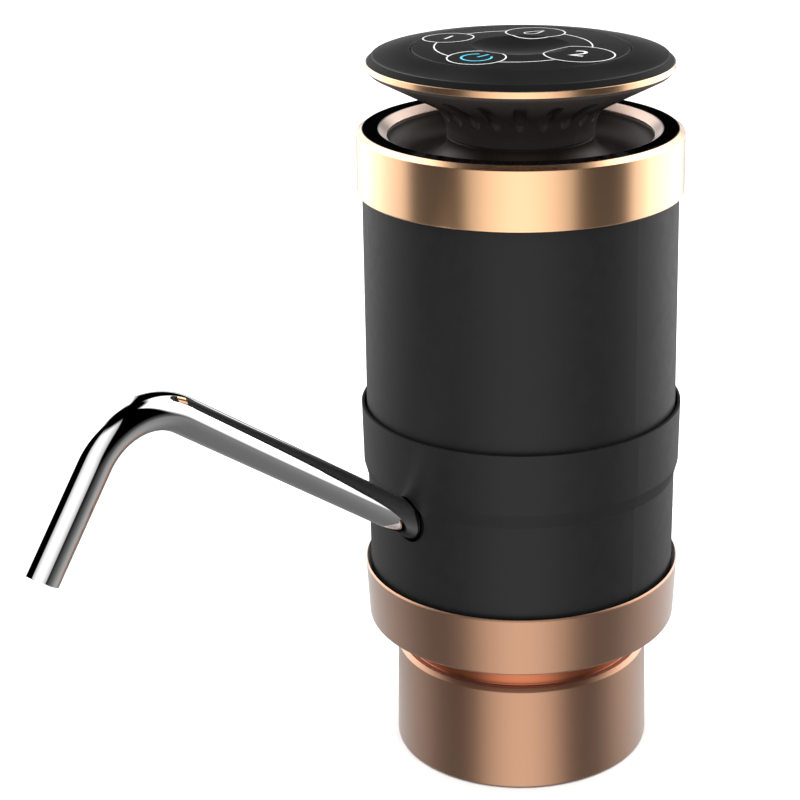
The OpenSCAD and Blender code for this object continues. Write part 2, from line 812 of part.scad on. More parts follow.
module plate_screws() {
    color(steel) ring_of(3, plate_screw_r, plate_start) translate([0, 0, z_deck])
        screw(screw_r, screw_head_r, screw_head_h, plate_t + 0.6 * plate_boss_h);
}

module battery_holder() {
    outer = cell_r + holder_wall;
    height = cell_h + 2 * holder_floor + 2 * contact_t;
    color(black) translate([0, cell_y, z_deck]) difference() {
        cylinder(r = outer, h = height);
        translate([0, 0, holder_floor])
            cylinder(r = cell_r + seat_gap, h = height - 2 * holder_floor);
        translate([-outer - cut, -outer - cut, holder_floor])
            cube([2 * (outer + cut), outer + cut - cell_r / 3, height - 2 * holder_floor]);
    }
}

module battery_cell() {
    color([0.20, 0.42, 0.62]) translate([0, cell_y, z_cell]) {
        cylinder(r = cell_r, h = cell_h - contact_t);
        cylinder(r = cell_r / 3, h = cell_h);
    }
}

module battery_contacts() {
    color(steel) for (z = [z_cell - contact_t, z_cell + cell_h]) {
        translate([0, cell_y, z]) cylinder(r = cell_r / 2, h = contact_t);
        translate([-terminal_w / 2, cell_y - cell_r - 2 * contact_t, z])
            cube([terminal_w, cell_r + 2 * contact_t, contact_t]);
    }
}

module main_board() {
    color(pcb) difference() {
        translate([-board_w / 2, board_y, z_board]) cube([board_w, pcb_t, board_h]);
        for (side = [-1, 1]) translate([side * 0.36 * board_w, board_y - cut, z_board + 0.92 * board_h])
            rotate([-90, 0, 0]) cylinder(r = screw_r, h = pcb_t + 2 * cut);
    }
}

// Chips, an inductor, capacitors and the ribbon's connector on the main board
module board_parts() {
    chip = board_w / 4;
    color([0.12, 0.12, 0.13]) translate([0, board_y, z_board]) {
        translate([-chip / 2, -chip / 5, 0.62 * board_h]) cube([chip, chip / 5, chip]);
        translate([-0.32 * board_w, -chip / 6, 0.3 * board_h]) cube([0.7 * chip, chip / 6, 0.7 * chip]);
        translate([0.16 * board_w, -0.4 * chip, 0.3 * board_h]) cube([0.9 * chip, 0.4 * chip, 0.9 * chip]);
        translate([0.05 * board_w, 0, 0.12 * board_h]) rotate([90, 0, 0])
            cylinder(r = 0.3 * chip, h = chip);
        translate([-0.18 * board_w, 0, 0.12 * board_h]) rotate([90, 0, 0])
            cylinder(r = 0.3 * chip, h = chip);
    }
    color(nylon) translate([-ribbon_w / 2 - ribbon_t, board_y - 3 * ribbon_t,
        z_board + clip_share * board_h])
        difference() {
            cube([ribbon_w + 2 * ribbon_t, 3 * ribbon_t, (1 - clip_share) * board_h]);
            translate([ribbon_t - seat_gap, 2 * ribbon_t - seat_gap,
                (ribbon_end_share - clip_share) * board_h])
                cube([ribbon_w + 2 * seat_gap, 2 * ribbon_t, board_h]);
        }
}

module usb_socket() {
    shell = ribbon_t;
    color(steel) translate([-usb_w / 2, board_y + pcb_t, usb_z - usb_h / 2]) difference() {
        cube([usb_w, usb_depth, usb_h]);
        translate([shell, usb_depth / 4, shell])
            cube([usb_w - 2 * shell, usb_depth, usb_h - 2 * shell]);
    }
    color(gloss) translate([-usb_w / 4, board_y + pcb_t + usb_depth / 4 - shell, usb_z - shell])
        cube([usb_w / 2, 0.6 * usb_depth, 2 * shell]);
}

module buzzer() {
    color(gloss) translate([0, board_y, z_board + 0.48 * board_h]) rotate([90, 0, 0])
        difference() {
            cylinder(r = 0.15 * board_w, h = 3 * pcb_t);
            translate([0, 0, 2 * pcb_t]) cylinder(r = pcb_t / 2, h = 2 * pcb_t);
        }
}

module at_motor() {
    translate([drive_x, pump_y, 0]) children();
}

module at_idler() {
    translate([idler_x, pump_y, 0]) children();
}

module motor_can() {
    color(steel) at_motor() difference() {
        union() {
            post(motor_r, z_motor, z_motor_cap);
            post(boss_r, z_motor - boss_h, z_motor);
        }
        post(motor_r - can_wall, z_motor + can_wall, z_motor_cap + cut);
        post(motor_bush_r + seat_gap, z_motor - boss_h - cut, z_motor + 2 * cut);
        for (side = [-1, 1]) translate([side * motor_screw_x, 0, 0])
            post(motor_screw_r + seat_gap, z_motor - cut, z_motor + 2 * cut);
    }
}

module motor_end_cap() {
    color(nylon) at_motor() difference() {
        post(motor_r, z_motor_cap, z_motor_cap + end_cap_t);
        post(motor_bush_r + seat_gap, z_motor_cap - cut, z_motor_cap + end_cap_t + cut);
        for (side = [-1, 1]) translate([side * motor_r * 0.6 - terminal_w / 2 - seat_gap,
            -terminal_t / 2 - seat_gap, z_motor_cap - cut])
            cube([terminal_w + 2 * seat_gap, terminal_t + 2 * seat_gap, end_cap_t + 2 * cut]);
    }
}

module motor_magnets() {
    z0 = z_motor + 4 * can_wall;
    color([0.25, 0.24, 0.24]) at_motor() for (side = [0, 180]) rotate(side) difference() {
        post(motor_r - can_wall - seat_gap, z0, z0 + magnet_h);
        post(magnet_in_r, z0 - cut, z0 + magnet_h + cut);
        translate([-motor_r, -motor_r, z0 - cut])
            cube([2 * motor_r, motor_r + motor_r / 4, magnet_h + 2 * cut]);
    }
}

module motor_bushes() {
    color(brass) at_motor() for (z = [z_motor - boss_h, z_motor_cap]) translate([0, 0, z])
        pipe(motor_bush_r, shaft_r + run_gap, 2 * boss_h);
}

module motor_brushes() {
    color([0.28, 0.26, 0.25]) at_motor() for (side = [0, 180]) rotate(side)
        difference() {
            translate([0, -brush_w / 2, z_motor_cap - comm_h])
                cube([motor_r - can_wall - brush_w, brush_w, comm_h]);
            post(comm_r + run_gap, z_motor_cap - 2 * comm_h, z_motor_cap);
        }
}

module motor_terminals() {
    color(brass) at_motor() for (side = [-1, 1])
        translate([side * motor_r * 0.6 - terminal_w / 2, -terminal_t / 2, z_motor_cap])
            cube([terminal_w, terminal_t, end_cap_t + terminal_h]);
}

module motor_shaft() {
    color(steel) at_motor() post(shaft_r, z_shaft, z_shaft + shaft_h);
}

// Three-pole armature, with a slot between each two poles
module rotor_core() {
    z0 = z_motor + 6 * can_wall;
    slot_w = core_r / 4;
    color([0.72, 0.42, 0.22]) at_motor() difference() {
        post(core_r, z0, z0 + core_h);
        post(shaft_r + seat_gap, z0 - cut, z0 + core_h + cut);
        for (i = [0 : 2]) rotate(i * 120) translate([core_r * 0.4, -slot_w / 2, z0 - cut])
            cube([core_r, slot_w, core_h + 2 * cut]);
    }
}

module commutator() {
    z0 = z_motor_cap - 1.4 * comm_h;
    color(brass) at_motor() difference() {
        post(comm_r, z0, z0 + comm_h);
        post(shaft_r + seat_gap, z0 - cut, z0 + comm_h + cut);
        for (i = [0 : 2]) rotate(i * 120) translate([shaft_r * 1.6, -comm_slot / 2, z0 - cut])
            cube([comm_r, comm_slot, comm_h + 2 * cut]);
    }
}

module pump_screw_places() {
    for (s = pump_screw_shares) translate([s[0] * neck_bore_r, s[1] * neck_bore_r, 0]) children();
}

// Outline of the pump seen from above, with its screw ears
module pump_outline() {
    translate([-block_x, block_low_y]) square([2 * block_x, block_high_y - block_low_y]);
    translate([0, inlet_y]) circle(r = inlet_r);
    translate([0, outlet_y]) circle(r = outlet_r);
    translate([-outlet_r, outlet_y]) square([2 * outlet_r, block_low_y - outlet_y + cut]);
    for (s = pump_screw_shares) translate([s[0] * neck_bore_r, s[1] * neck_bore_r]) {
        circle(r = ear_r);
        if (s[1] < 0) translate([-ear_r, 0]) square([2 * ear_r, -s[1] * neck_bore_r + block_low_y + cut]);
        if (s[0] < -0.7) translate([0, -ear_r]) square([ear_r + cut, 2 * ear_r]);
    }
}

// Hollows that the pump body and its gasket share
module pump_hollows(low, high) {
    at_motor() post(chamber_r, low, high);
    at_idler() post(chamber_r, low, high);
    translate([-port_w / 2, outlet_y, low])
        cube([port_w, inlet_y - outlet_y, high - low]);
    translate([0, inlet_y, 0]) post(cage_r, low, high);
    translate([0, outlet_y, 0]) post(port_w / 2, low, high);
}

module pump_body() {
    z0 = z_gasket + gasket_t;
    color(nylon) difference() {
        union() {
            translate([0, 0, z0]) linear_extrude(z_pump - z0) pump_outline();
            translate([0, outlet_y, 0]) post(barb_r, z_pump, z_pump + barb_h);
        }
        difference() {
            pump_hollows(z0 - cut, z_roof);
            for (a = [90, 210, 330]) translate([0, inlet_y, 0]) rotate(a)
                translate([ball_r + run_gap, -cage_rib / 2, z0 - 2 * cut])
                    cube([cage_gap + lip_t, cage_rib, z_roof - z0 + 3 * cut]);
            translate([0, inlet_y, 0])
                post(ball_stop_r, z_ball + ball_r + ball_lift + seat_gap, z_roof + cut);
        }
        translate([0, outlet_y, 0]) post(barb_bore_r, z0, z_pump + barb_h + cut);
        at_motor() {
            post(shaft_r + fit_gap, z_roof - cut, z_pump + cut);
            post(seal_r + seat_gap, z_pump - seal_h, z_pump + cut);
        }
        at_idler() post(idler_pin_r + seat_gap, z_roof - cut, z_roof + pump_roof / 2);
        pump_screw_places() post(screw_r + seat_gap, z0 - cut, z_pump + cut);
    }
}

module pump_cover() {
    color(nylon) difference() {
        translate([0, 0, z_cover]) linear_extrude(cover_t) pump_outline();
        translate([0, inlet_y, 0]) {
            post(inlet_body_r + seat_gap, z_cover - cut, z_gasket + cut);
            post(inlet_flange_r + seat_gap, z_cover - cut, z_cover + inlet_flange_t);
        }
        at_motor() post(bush_r + seat_gap, z_cover + bush_floor / 2, z_gasket + cut);
        at_idler() post(idler_pin_r + seat_gap, z_cover + cover_t / 4, z_gasket + cut);
        pump_screw_places() post(screw_r + seat_gap, z_cover - cut, z_gasket + cut);
    }
}

module cover_gasket() {
    color(rubber) difference() {
        translate([0, 0, z_gasket]) linear_extrude(gasket_t) pump_outline();
        pump_hollows(z_gasket - cut, z_gasket + gasket_t + cut);
        pump_screw_places()
            post(screw_r + seat_gap, z_gasket - cut, z_gasket + gasket_t + cut);
    }
}

// One tooth's outline in polar form, from the root, over the tip and back
function inv(a) = tan(a) * 180 / PI - a;
function half_tooth(r) = (gear_module * PI / 2 - backlash) / gear_span * 180 / PI
    + inv(pressure_angle) - inv(acos(min(1, base_r / r)));
function flank(i) = base_r + (tip_r - base_r) * i / flank_steps;
function tooth(at) = concat(
    [[root_r, at - half_tooth(base_r)]],
    [for (i = [0 : flank_steps]) [flank(i), at - half_tooth(flank(i))]],
    [for (i = [flank_steps : -1 : 0]) [flank(i), at + half_tooth(flank(i))]],
    [[root_r, at + half_tooth(base_r)]]);

module gear(bore, start) {
    points = [for (t = [0 : gear_teeth - 1]) each tooth(start + t * 360 / gear_teeth)];
    difference() {
        translate([0, 0, z_gears]) linear_extrude(gear_h)
            polygon([for (p = points) [p[0] * cos(p[1]), p[0] * sin(p[1])]]);
        post(bore, z_gears - cut, z_gears + gear_h + cut);
    }
}

module drive_gear() {
    color(nylon) at_motor() gear(shaft_r + seat_gap, 0);
}

module idler_gear() {
    color(nylon) at_idler() gear(idler_pin_r + run_gap, 180 + 180 / gear_teeth);
}

module idler_pin() {
    color(steel) at_idler() post(idler_pin_r, z_cover + cover_t / 4, z_roof + pump_roof / 2);
}

module shaft_bush() {
    foot = z_cover + bush_floor / 2;
    color(brass) at_motor() difference() {
        post(bush_r, foot, z_gasket);
        post(shaft_r + run_gap, foot + bush_floor, z_gasket + cut);
    }
}

module shaft_seal() {
    color(rubber) at_motor() translate([0, 0, z_pump - seal_h])
        pipe(seal_r, shaft_r + run_gap, seal_h - seat_gap);
}

module motor_bracket() {
    color(steel) difference() {
        translate([0, 0, z_pump]) linear_extrude(bracket_t) difference() {
            pump_outline();
            translate([-2 * outlet_r, outlet_y - 2 * outlet_r])
                square([4 * outlet_r, 2 * outlet_r - outlet_y + block_low_y - fit_gap]);
        }
        at_motor() post(boss_r + seat_gap, z_pump - cut, z_motor + cut);
        at_motor() for (side = [-1, 1]) translate([side * motor_screw_x, 0, 0]) {
            post(motor_screw_r + seat_gap, z_pump - cut, z_motor + cut);
            post(motor_screw_head_r + fit_gap, z_pump - cut, z_pump + motor_screw_head_h);
        }
        pump_screw_places() post(screw_r + seat_gap, z_pump - cut, z_motor + cut);
    }
}

module motor_screws() {
    color(steel) at_motor() for (side = [-1, 1])
        translate([side * motor_screw_x, 0, z_pump + motor_screw_head_h]) mirror([0, 0, 1])
            screw(motor_screw_r, motor_screw_head_r, motor_screw_head_h - seat_gap,
                bracket_t - motor_screw_head_h + 1.5 * can_wall);
}

module pump_screws() {
    color(steel) pump_screw_places() translate([0, 0, z_motor])
        screw(screw_r, screw_head_r, screw_head_h, pump_screw_h);
}

module inlet_fitting() {
    seat_r = ball_r * ball_seat_share;
    color(nylon) translate([0, inlet_y, 0]) difference() {
        union() {
            post(inlet_body_r, z_web, z_gasket);
            post(inlet_flange_r, z_cover, z_cover + inlet_flange_t);
            post(spigot_r, z_spigot + lip_bevel, z_web);
            translate([0, 0, z_spigot])
                cylinder(r1 = spigot_r - lip_bevel, r2 = spigot_r, h = lip_bevel);
        }
        post(inlet_bore_r, z_spigot - cut, z_gasket + cut);
        translate([0, 0, z_ball_seat - seat_r])
            cylinder(r1 = 0, r2 = seat_r + cut, h = seat_r + cut);
        translate([0, 0, z_cover + cover_t / 2])
            pipe(inlet_body_r + cut, inlet_body_r - cover_t / 3, cover_t / 3);
    }
}

module inlet_seal() {
    groove = cover_t / 3;
    color(rubber) translate([0, inlet_y, z_cover + cover_t / 2 + groove / 2])
        rotate_extrude() translate([inlet_body_r - groove / 2 + seat_gap, 0])
            circle(r = groove / 2 - seat_gap, $fn = 32);
}

module check_ball() {
    color(steel) translate([0, inlet_y, z_ball]) sphere(r = ball_r);
}

// The hose's path: straight ends of radius r and a bend of another radius
module hose_path(r, bend, extra) {
    rise = z_hose_corner - hose_tangent - z_pump;
    translate([0, outlet_y, z_pump - extra]) cylinder(r = r, h = rise + extra + hose_lap);
    translate([0, outlet_y - hose_bend_r, z_pump + rise]) rotate([90, 0, 90])
        rotate_extrude(angle = hose_turn) translate([hose_bend_r, 0])
            circle(r = bend, $fn = 48);
    inward() translate([0, 0, socket_end - extra])
        cylinder(r = r, h = hose_incline - socket_end + extra + hose_lap);
}

module outlet_hose() {
    color([0.86, 0.87, 0.87]) difference() {
        hose_path(hose_r, hose_r + hose_swell, 0);
        hose_path(hose_bore_r, hose_bore_r - hose_swell, cut);
    }
}

module hose_clamps() {
    color(steel) {
        translate([0, outlet_y, z_pump + clamp_w / 2])
            pipe(hose_r + clamp_t, hose_r + seat_gap, clamp_w);
        inward() translate([0, 0, socket_end + clamp_w / 2])
            pipe(hose_r + clamp_t, hose_r + seat_gap, clamp_w);
    }
}

module spout_socket() {
    color(black) difference() {
        union() {
            intersection() {
                inward() translate([0, 0, -2 * tube_r])
                    cylinder(r = socket_body_r, h = socket_end + 2 * tube_r);
                post(barrel_bore_r - seat_gap, z_barrel, z_plate);
            }
            inward() translate([0, 0, socket_end - cut]) cylinder(r = barb_r, h = barb_h + cut);
        }
        inward() {
            translate([0, 0, -2 * tube_r])
                cylinder(r = tube_r + run_gap, h = tube_in + 2 * tube_r + seat_gap);
            cylinder(r = barb_bore_r, h = socket_end + barb_h + cut);
            for (s = seal_shares) translate([0, 0, s * socket_end])
                pipe(socket_seal_r, tube_r - cut, 2 * ring_section);
        }
    }
}

module spout_seals() {
    color(rubber) inward() for (s = seal_shares)
        translate([0, 0, s * socket_end + ring_section]) rotate_extrude()
            translate([tube_r + run_gap + ring_section, 0])
                circle(r = ring_section - seat_gap, $fn = 32);
}

module spout_grommet() {
    color(rubber) difference() {
        translate([0, -hole_y, z_hole]) rotate([90, 0, 0]) translate([0, 0, -hole_recess])
            cylinder(r = hole_r - seat_gap, h = hole_recess);
        inward() translate([0, 0, -3 * tube_r]) cylinder(r = tube_r + fit_gap, h = 6 * tube_r);
    }
}

// The tube's two legs of radius r and a bend of another radius, with longer ends
module spout_path(r, bend, extra) {
    inward() translate([0, 0, bend_cut - leg1 - tube_lap])
        cylinder(r = r, h = leg1 - bend_cut + tube_in + extra + tube_lap);
    translate([0, -hole_y, z_hole]) rotate([90 - climb, 0, 0])
        translate([0, -bend_r, leg1 - bend_cut]) rotate([90, 0, 90])
            rotate_extrude(angle = turn) translate([bend_r, 0]) circle(r = bend, $fn = 96);
    translate([0, -hole_y - leg1 * cos(climb), z_hole + leg1 * sin(climb)])
        rotate([90 + fall, 0, 0]) translate([0, 0, bend_cut - tube_lap])
            cylinder(r = r, h = leg2 - bend_cut + extra + tube_lap);
}

module spout_tube() {
    color(steel) difference() {
        spout_path(tube_r, tube_r + tube_swell, 0);
        spout_path(bore_r, bore_r - tube_swell, cut);
    }
}

bottle_collar();
neck_seal();
lower_trim_ring();
lower_barrel();
base_screws();
body_gasket();
upper_barrel();
upper_trim_ring();
top_annulus();
bowl_bezel();
bowl();
bowl_screws();
head_stem();
stem_screws();
head_rim_ring();
touch_panel();
touch_board();
touch_contacts();
status_leds();
ribbon_cable();
carrier_plate();
plate_screws();
battery_holder();
battery_cell();
battery_contacts();
main_board();
board_parts();
usb_socket();
buzzer();
motor_can();
motor_end_cap();
motor_magnets();
motor_bushes();
motor_brushes();
motor_terminals();
motor_shaft();
rotor_core();
commutator();
motor_bracket();
motor_screws();
pump_body();
pump_cover();
cover_gasket();
drive_gear();
idler_gear();
idler_pin();
shaft_bush();
shaft_seal();
pump_screws();
inlet_fitting();
inlet_seal();
check_ball();
outlet_hose();
hose_clamps();
spout_socket();
spout_seals();
spout_grommet();
spout_tube();
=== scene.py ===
"""Looks of the electric water bottle pump, in the same frame as its CAD model.

Lengths are in millimetres, and mesh_object() scales what it makes to metres. The camera, the
floor and the lights stand in metres, and names that end in _M say so. Angles are in degrees.
"""

import json
import math

import bpy
from mathutils import Matrix, Vector


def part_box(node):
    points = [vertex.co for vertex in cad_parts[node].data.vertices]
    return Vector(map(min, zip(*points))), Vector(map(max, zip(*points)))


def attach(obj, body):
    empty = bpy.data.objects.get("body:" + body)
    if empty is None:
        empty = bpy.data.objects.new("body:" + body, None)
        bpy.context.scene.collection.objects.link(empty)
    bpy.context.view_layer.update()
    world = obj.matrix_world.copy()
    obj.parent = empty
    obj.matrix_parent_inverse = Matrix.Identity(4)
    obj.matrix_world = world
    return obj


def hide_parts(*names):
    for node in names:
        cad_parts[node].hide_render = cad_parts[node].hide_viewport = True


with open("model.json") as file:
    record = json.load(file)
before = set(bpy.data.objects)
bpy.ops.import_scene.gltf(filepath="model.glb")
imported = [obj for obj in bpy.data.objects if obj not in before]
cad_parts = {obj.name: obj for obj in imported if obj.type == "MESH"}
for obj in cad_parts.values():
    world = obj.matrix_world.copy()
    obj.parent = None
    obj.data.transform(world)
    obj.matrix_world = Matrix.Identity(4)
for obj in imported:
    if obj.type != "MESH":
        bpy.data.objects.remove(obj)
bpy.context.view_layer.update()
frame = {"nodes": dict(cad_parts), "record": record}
nodes = frame["nodes"]
record = frame["record"]

MM = 0.001

# Camera, fitted to the ellipses of the rings in the photograph
CAM_AT = (328.8, -325.65, 264.56)
CAM_PITCH = 73.744
CAM_TURN = 45.0
CAM_LENS = 92.885
CAM_SENSOR = 36.0
CAM_SHIFT = (-0.1631, -0.2175)
CAM_CLIP_M = (0.01, 20.0)
CAM_SIDE = CAM_TURN - 90.0


def make_camera():
    data = bpy.data.cameras.new("camera")
    data.sensor_width = CAM_SENSOR
    data.lens = CAM_LENS
    data.shift_x, data.shift_y = CAM_SHIFT
    data.clip_start, data.clip_end = CAM_CLIP_M
    cam = bpy.data.objects.new("camera", data)
    cam.location = [v * MM for v in CAM_AT]
    cam.rotation_euler = (math.radians(CAM_PITCH), 0.0, math.radians(CAM_TURN))
    bpy.context.scene.collection.objects.link(cam)
    bpy.context.scene.camera = cam


make_camera()


# Materials
EVEN = (1.0, 1.0, 1.0)
BRUSHED = (1.0, 1.0, 40.0)
NOISE_LOW, NOISE_HIGH = 0.3, 0.7
TONE_DETAIL, BUMP_DETAIL = 3.0, 2.0
BUMP_SIZE, BUMP_DEEP_M = 2500.0, 0.0001
SHEEN_ROUGH = 0.4
LIGHT_DEPTH_M = 0.002
LOOKS = {}

# Places of the Mix node's colour sockets
MIX_A, MIX_B, MIX_OUT = 6, 7, 2


def noise(tree, grain, size, detail):
    """A fine noise on the object's own coordinates, drawn out along Z by a grain."""
    place = tree.nodes.new("ShaderNodeTexCoord")
    mapping = tree.nodes.new("ShaderNodeMapping")
    mapping.inputs["Scale"].default_value = grain
    tree.links.new(place.outputs["Object"], mapping.inputs["Vector"])
    texture = tree.nodes.new("ShaderNodeTexNoise")
    texture.inputs["Scale"].default_value = size
    texture.inputs["Detail"].default_value = detail
    tree.links.new(mapping.outputs["Vector"], texture.inputs["Vector"])
    return texture.outputs["Fac"]


def between(tree, source, low, high):
    """Spreads the noise's usual range over low to high."""
    span = tree.nodes.new("ShaderNodeMapRange")
    span.inputs["From Min"].default_value = NOISE_LOW
    span.inputs["From Max"].default_value = NOISE_HIGH
    span.inputs["To Min"].default_value = low
    span.inputs["To Max"].default_value = high
    tree.links.new(source, span.inputs["Value"])
    return span.outputs["Result"]


def surface(name, tone_a, tone_b, rough, metal=0.0, spec=0.5, tint=None, grain=EVEN, size=400.0,
            bump=0.0, coat=0.0, coat_rough=0.05, coat_ior=1.5, sheen=0.0, glow=None,
            lets_light_in=0.0):
    """A look whose tone and roughness vary with a fine procedural noise."""
    mat = bpy.data.materials.new(name)
    mat.use_nodes = True
    tree = mat.node_tree
    bsdf = next(n for n in tree.nodes if n.type == "BSDF_PRINCIPLED")
    tone = noise(tree, grain, size, TONE_DETAIL)
    mix = tree.nodes.new("ShaderNodeMix")
    mix.data_type = "RGBA"
    mix.inputs[MIX_A].default_value = (*tone_a, 1.0)
    mix.inputs[MIX_B].default_value = (*tone_b, 1.0)
    tree.links.new(between(tree, tone, 0.0, 1.0), mix.inputs["Factor"])
    tree.links.new(mix.outputs[MIX_OUT], bsdf.inputs["Base Color"])
    tree.links.new(between(tree, tone, rough[0], rough[1]), bsdf.inputs["Roughness"])
    bsdf.inputs["Metallic"].default_value = metal
    bsdf.inputs["Specular IOR Level"].default_value = spec
    if tint:
        bsdf.inputs["Specular Tint"].default_value = (*tint, 1.0)
    if bump:
        height = tree.nodes.new("ShaderNodeBump")
        height.inputs["Strength"].default_value = bump
        height.inputs["Distance"].default_value = BUMP_DEEP_M
        tree.links.new(noise(tree, grain, BUMP_SIZE, BUMP_DETAIL), height.inputs["Height"])
        tree.links.new(height.outputs["Normal"], bsdf.inputs["Normal"])
    if coat:
        bsdf.inputs["Coat Weight"].default_value = coat
        bsdf.inputs["Coat Roughness"].default_value = coat_rough
        bsdf.inputs["Coat IOR"].default_value = coat_ior
    if sheen:
        bsdf.inputs["Sheen Weight"].default_value = sheen
        bsdf.inputs["Sheen Roughness"].default_value = SHEEN_ROUGH
    if glow:
        bsdf.inputs["Emission Color"].default_value = (*glow[0], 1.0)
        bsdf.inputs["Emission Strength"].default_value = glow[1]
    if lets_light_in:
        bsdf.inputs["Subsurface Weight"].default_value = lets_light_in
        bsdf.inputs["Subsurface Scale"].default_value = LIGHT_DEPTH_M
    LOOKS[name] = mat


# Black plastics
surface("matte_black", (0.0072, 0.0072, 0.0074), (0.0088, 0.0088, 0.0090), (0.49, 0.54), spec=0.27,
        bump=0.04)
# The head stem's black is lighter and browner than the body's, with copper-tinted highlights:
# painted light from the floor and the copper below it
surface("stem_black_painted_light", (0.032, 0.0273, 0.0252), (0.0357, 0.0304, 0.0282), (0.50, 0.55), spec=0.30,
        tint=(1.0, 0.84, 0.76), bump=0.04)
# The bowl's black is browner, with copper-tinted highlights: painted reflection of the copper round
# it
surface("satin_black_painted_reflection", (0.012, 0.0084, 0.0070), (0.017, 0.0118, 0.0098), (0.42, 0.48), spec=0.23,
        tint=(1.0, 0.78, 0.66), size=1500.0)
surface("gloss_black", (0.0008, 0.0008, 0.0009), (0.0012, 0.0012, 0.0013), (0.06, 0.08), size=60.0)
surface("panel_black", (0.0038, 0.0038, 0.0040), (0.0048, 0.0048, 0.0050), (0.37, 0.41), size=60.0)
# A duller panel black with almost no highlight, for the groove and the outer shoulder: painted
# shade there
surface("panel_painted_shade", (0.0040, 0.0038, 0.0036), (0.0052, 0.0050, 0.0048), (0.55, 0.60), spec=0.08,
        size=60.0)
# The grommet is blacker than the body, with hardly any highlight: painted shade of the spout's hole
surface("grommet_black_painted_shade", (0.0016, 0.0016, 0.0016), (0.0024, 0.0024, 0.0024), (0.60, 0.70),
        spec=0.05)
surface("black_silicone", (0.012, 0.012, 0.012), (0.022, 0.022, 0.022), (0.60, 0.75), spec=0.3,
        bump=0.1)
surface("black_components", (0.012, 0.012, 0.013), (0.025, 0.025, 0.026), (0.45, 0.60))

# Metals
surface("polished_rose_gold", (0.97, 0.505, 0.212), (0.98, 0.513, 0.218), (0.235, 0.245), metal=1.0,
        grain=BRUSHED, size=260.0, coat=1.0, coat_rough=0.24, coat_ior=2.25, sheen=0.35)
# The bezel is a paler, pinkish copy of the rose gold: painted whitish reflection that shows at its
# ends
surface("bezel_gold_painted_reflection", (0.84, 0.585, 0.46), (0.86, 0.60, 0.475), (0.27, 0.29), metal=1.0, size=60.0,
        coat=1.0, coat_rough=0.28, coat_ior=1.9, sheen=0.4)
surface("satin_copper", (0.405, 0.178, 0.073), (0.425, 0.188, 0.078), (0.345, 0.365), metal=1.0,
        grain=BRUSHED, size=260.0, coat=1.0, coat_rough=0.38, coat_ior=1.9, sheen=0.4)
# A redder copper without the coat, for the collar's neck groove: painted reflection of the copper
# on itself in the shaded groove
surface("groove_copper_painted_reflection", (0.50, 0.155, 0.075), (0.53, 0.170, 0.083), (0.33, 0.36), metal=1.0,
        grain=BRUSHED, size=260.0)
surface("bright_steel_tube", (0.88, 0.88, 0.88), (0.92, 0.92, 0.92), (0.018, 0.035), metal=1.0,
        size=90.0)
surface("steel", (0.50, 0.50, 0.52), (0.62, 0.62, 0.64), (0.22, 0.34), metal=1.0)
surface("brass_parts", (0.62, 0.44, 0.18), (0.74, 0.54, 0.24), (0.22, 0.34), metal=1.0)
surface("dark_ferrite", (0.035, 0.034, 0.034), (0.060, 0.058, 0.057), (0.45, 0.65))
surface("wound_core", (0.42, 0.17, 0.07), (0.55, 0.25, 0.11), (0.25, 0.40), metal=1.0,
        grain=BRUSHED)

# Pale plastics, the boards and the cell
surface("white_nylon", (0.70, 0.70, 0.66), (0.76, 0.76, 0.72), (0.40, 0.50), lets_light_in=0.2)
surface("milky_silicone", (0.62, 0.65, 0.66), (0.70, 0.73, 0.74), (0.30, 0.42), lets_light_in=0.4)
surface("led_white", (0.80, 0.82, 0.84), (0.86, 0.88, 0.90), (0.15, 0.25))
surface("ribbon_white", (0.70, 0.70, 0.68), (0.80, 0.80, 0.78), (0.35, 0.50))
surface("circuit_board", (0.006, 0.085, 0.035), (0.012, 0.12, 0.05), (0.25, 0.40), size=1200.0,
        coat=0.3)
surface("cell_sleeve", (0.03, 0.09, 0.22), (0.04, 0.11, 0.26), (0.25, 0.35), coat=0.4)

# Prints on the panel, and the floor
surface("print_white", (0.55, 0.56, 0.57), (0.62, 0.63, 0.64), (0.40, 0.50))
surface("print_key", (0.0048, 0.0042, 0.0040), (0.0056, 0.0050, 0.0047), (0.40, 0.42), spec=0.46,
        size=60.0)
surface("print_cyan", (0.05, 0.42, 0.56), (0.06, 0.48, 0.62), (0.40, 0.50),
        glow=((0.05, 0.55, 0.75), 0.10))
surface("floor", (0.90, 0.90, 0.90), (0.92, 0.92, 0.92), (0.55, 0.65), spec=0.2, size=6.0)

# A node's look is named after its slot in the record, but for these
OWN_LOOK = {
    "head_stem": "stem_black_painted_light",
    "spout_grommet": "grommet_black_painted_shade",
    "bowl_bezel": "bezel_gold_painted_reflection",
    "touch_panel": "panel_black",
}


def dress_cad_nodes():
    slot_of = {part["node"]: part["material_slot"] for part in record["subparts"]}
    for name, obj in nodes.items():
        mat = LOOKS[OWN_LOOK.get(name, slot_of[name])]
        if obj.material_slots:
            for slot in obj.material_slots:
                slot.material = mat
        else:
            obj.data.materials.append(mat)


dress_cad_nodes()


# Meshes
LATHE_SIDES = 256
FILLET_STEPS = 5
FILLET_SHARE = 0.45
HOLD, HOLD_SHARE = 0.15, 0.4
ON_AXIS = 1e-6

# FIT is the clearance between two skins, and DIGITS is how finely a CAD size is read
FIT, DIGITS = 0.01, 3


def cad_size(node):
    """A CAD node's outer radius, foot and top, in millimetres."""
    low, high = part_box(node)
    radius = max(v.co.xy.length for v in nodes[node].data.vertices)
    return [round(v / MM, DIGITS) for v in (radius, low.z, high.z)]


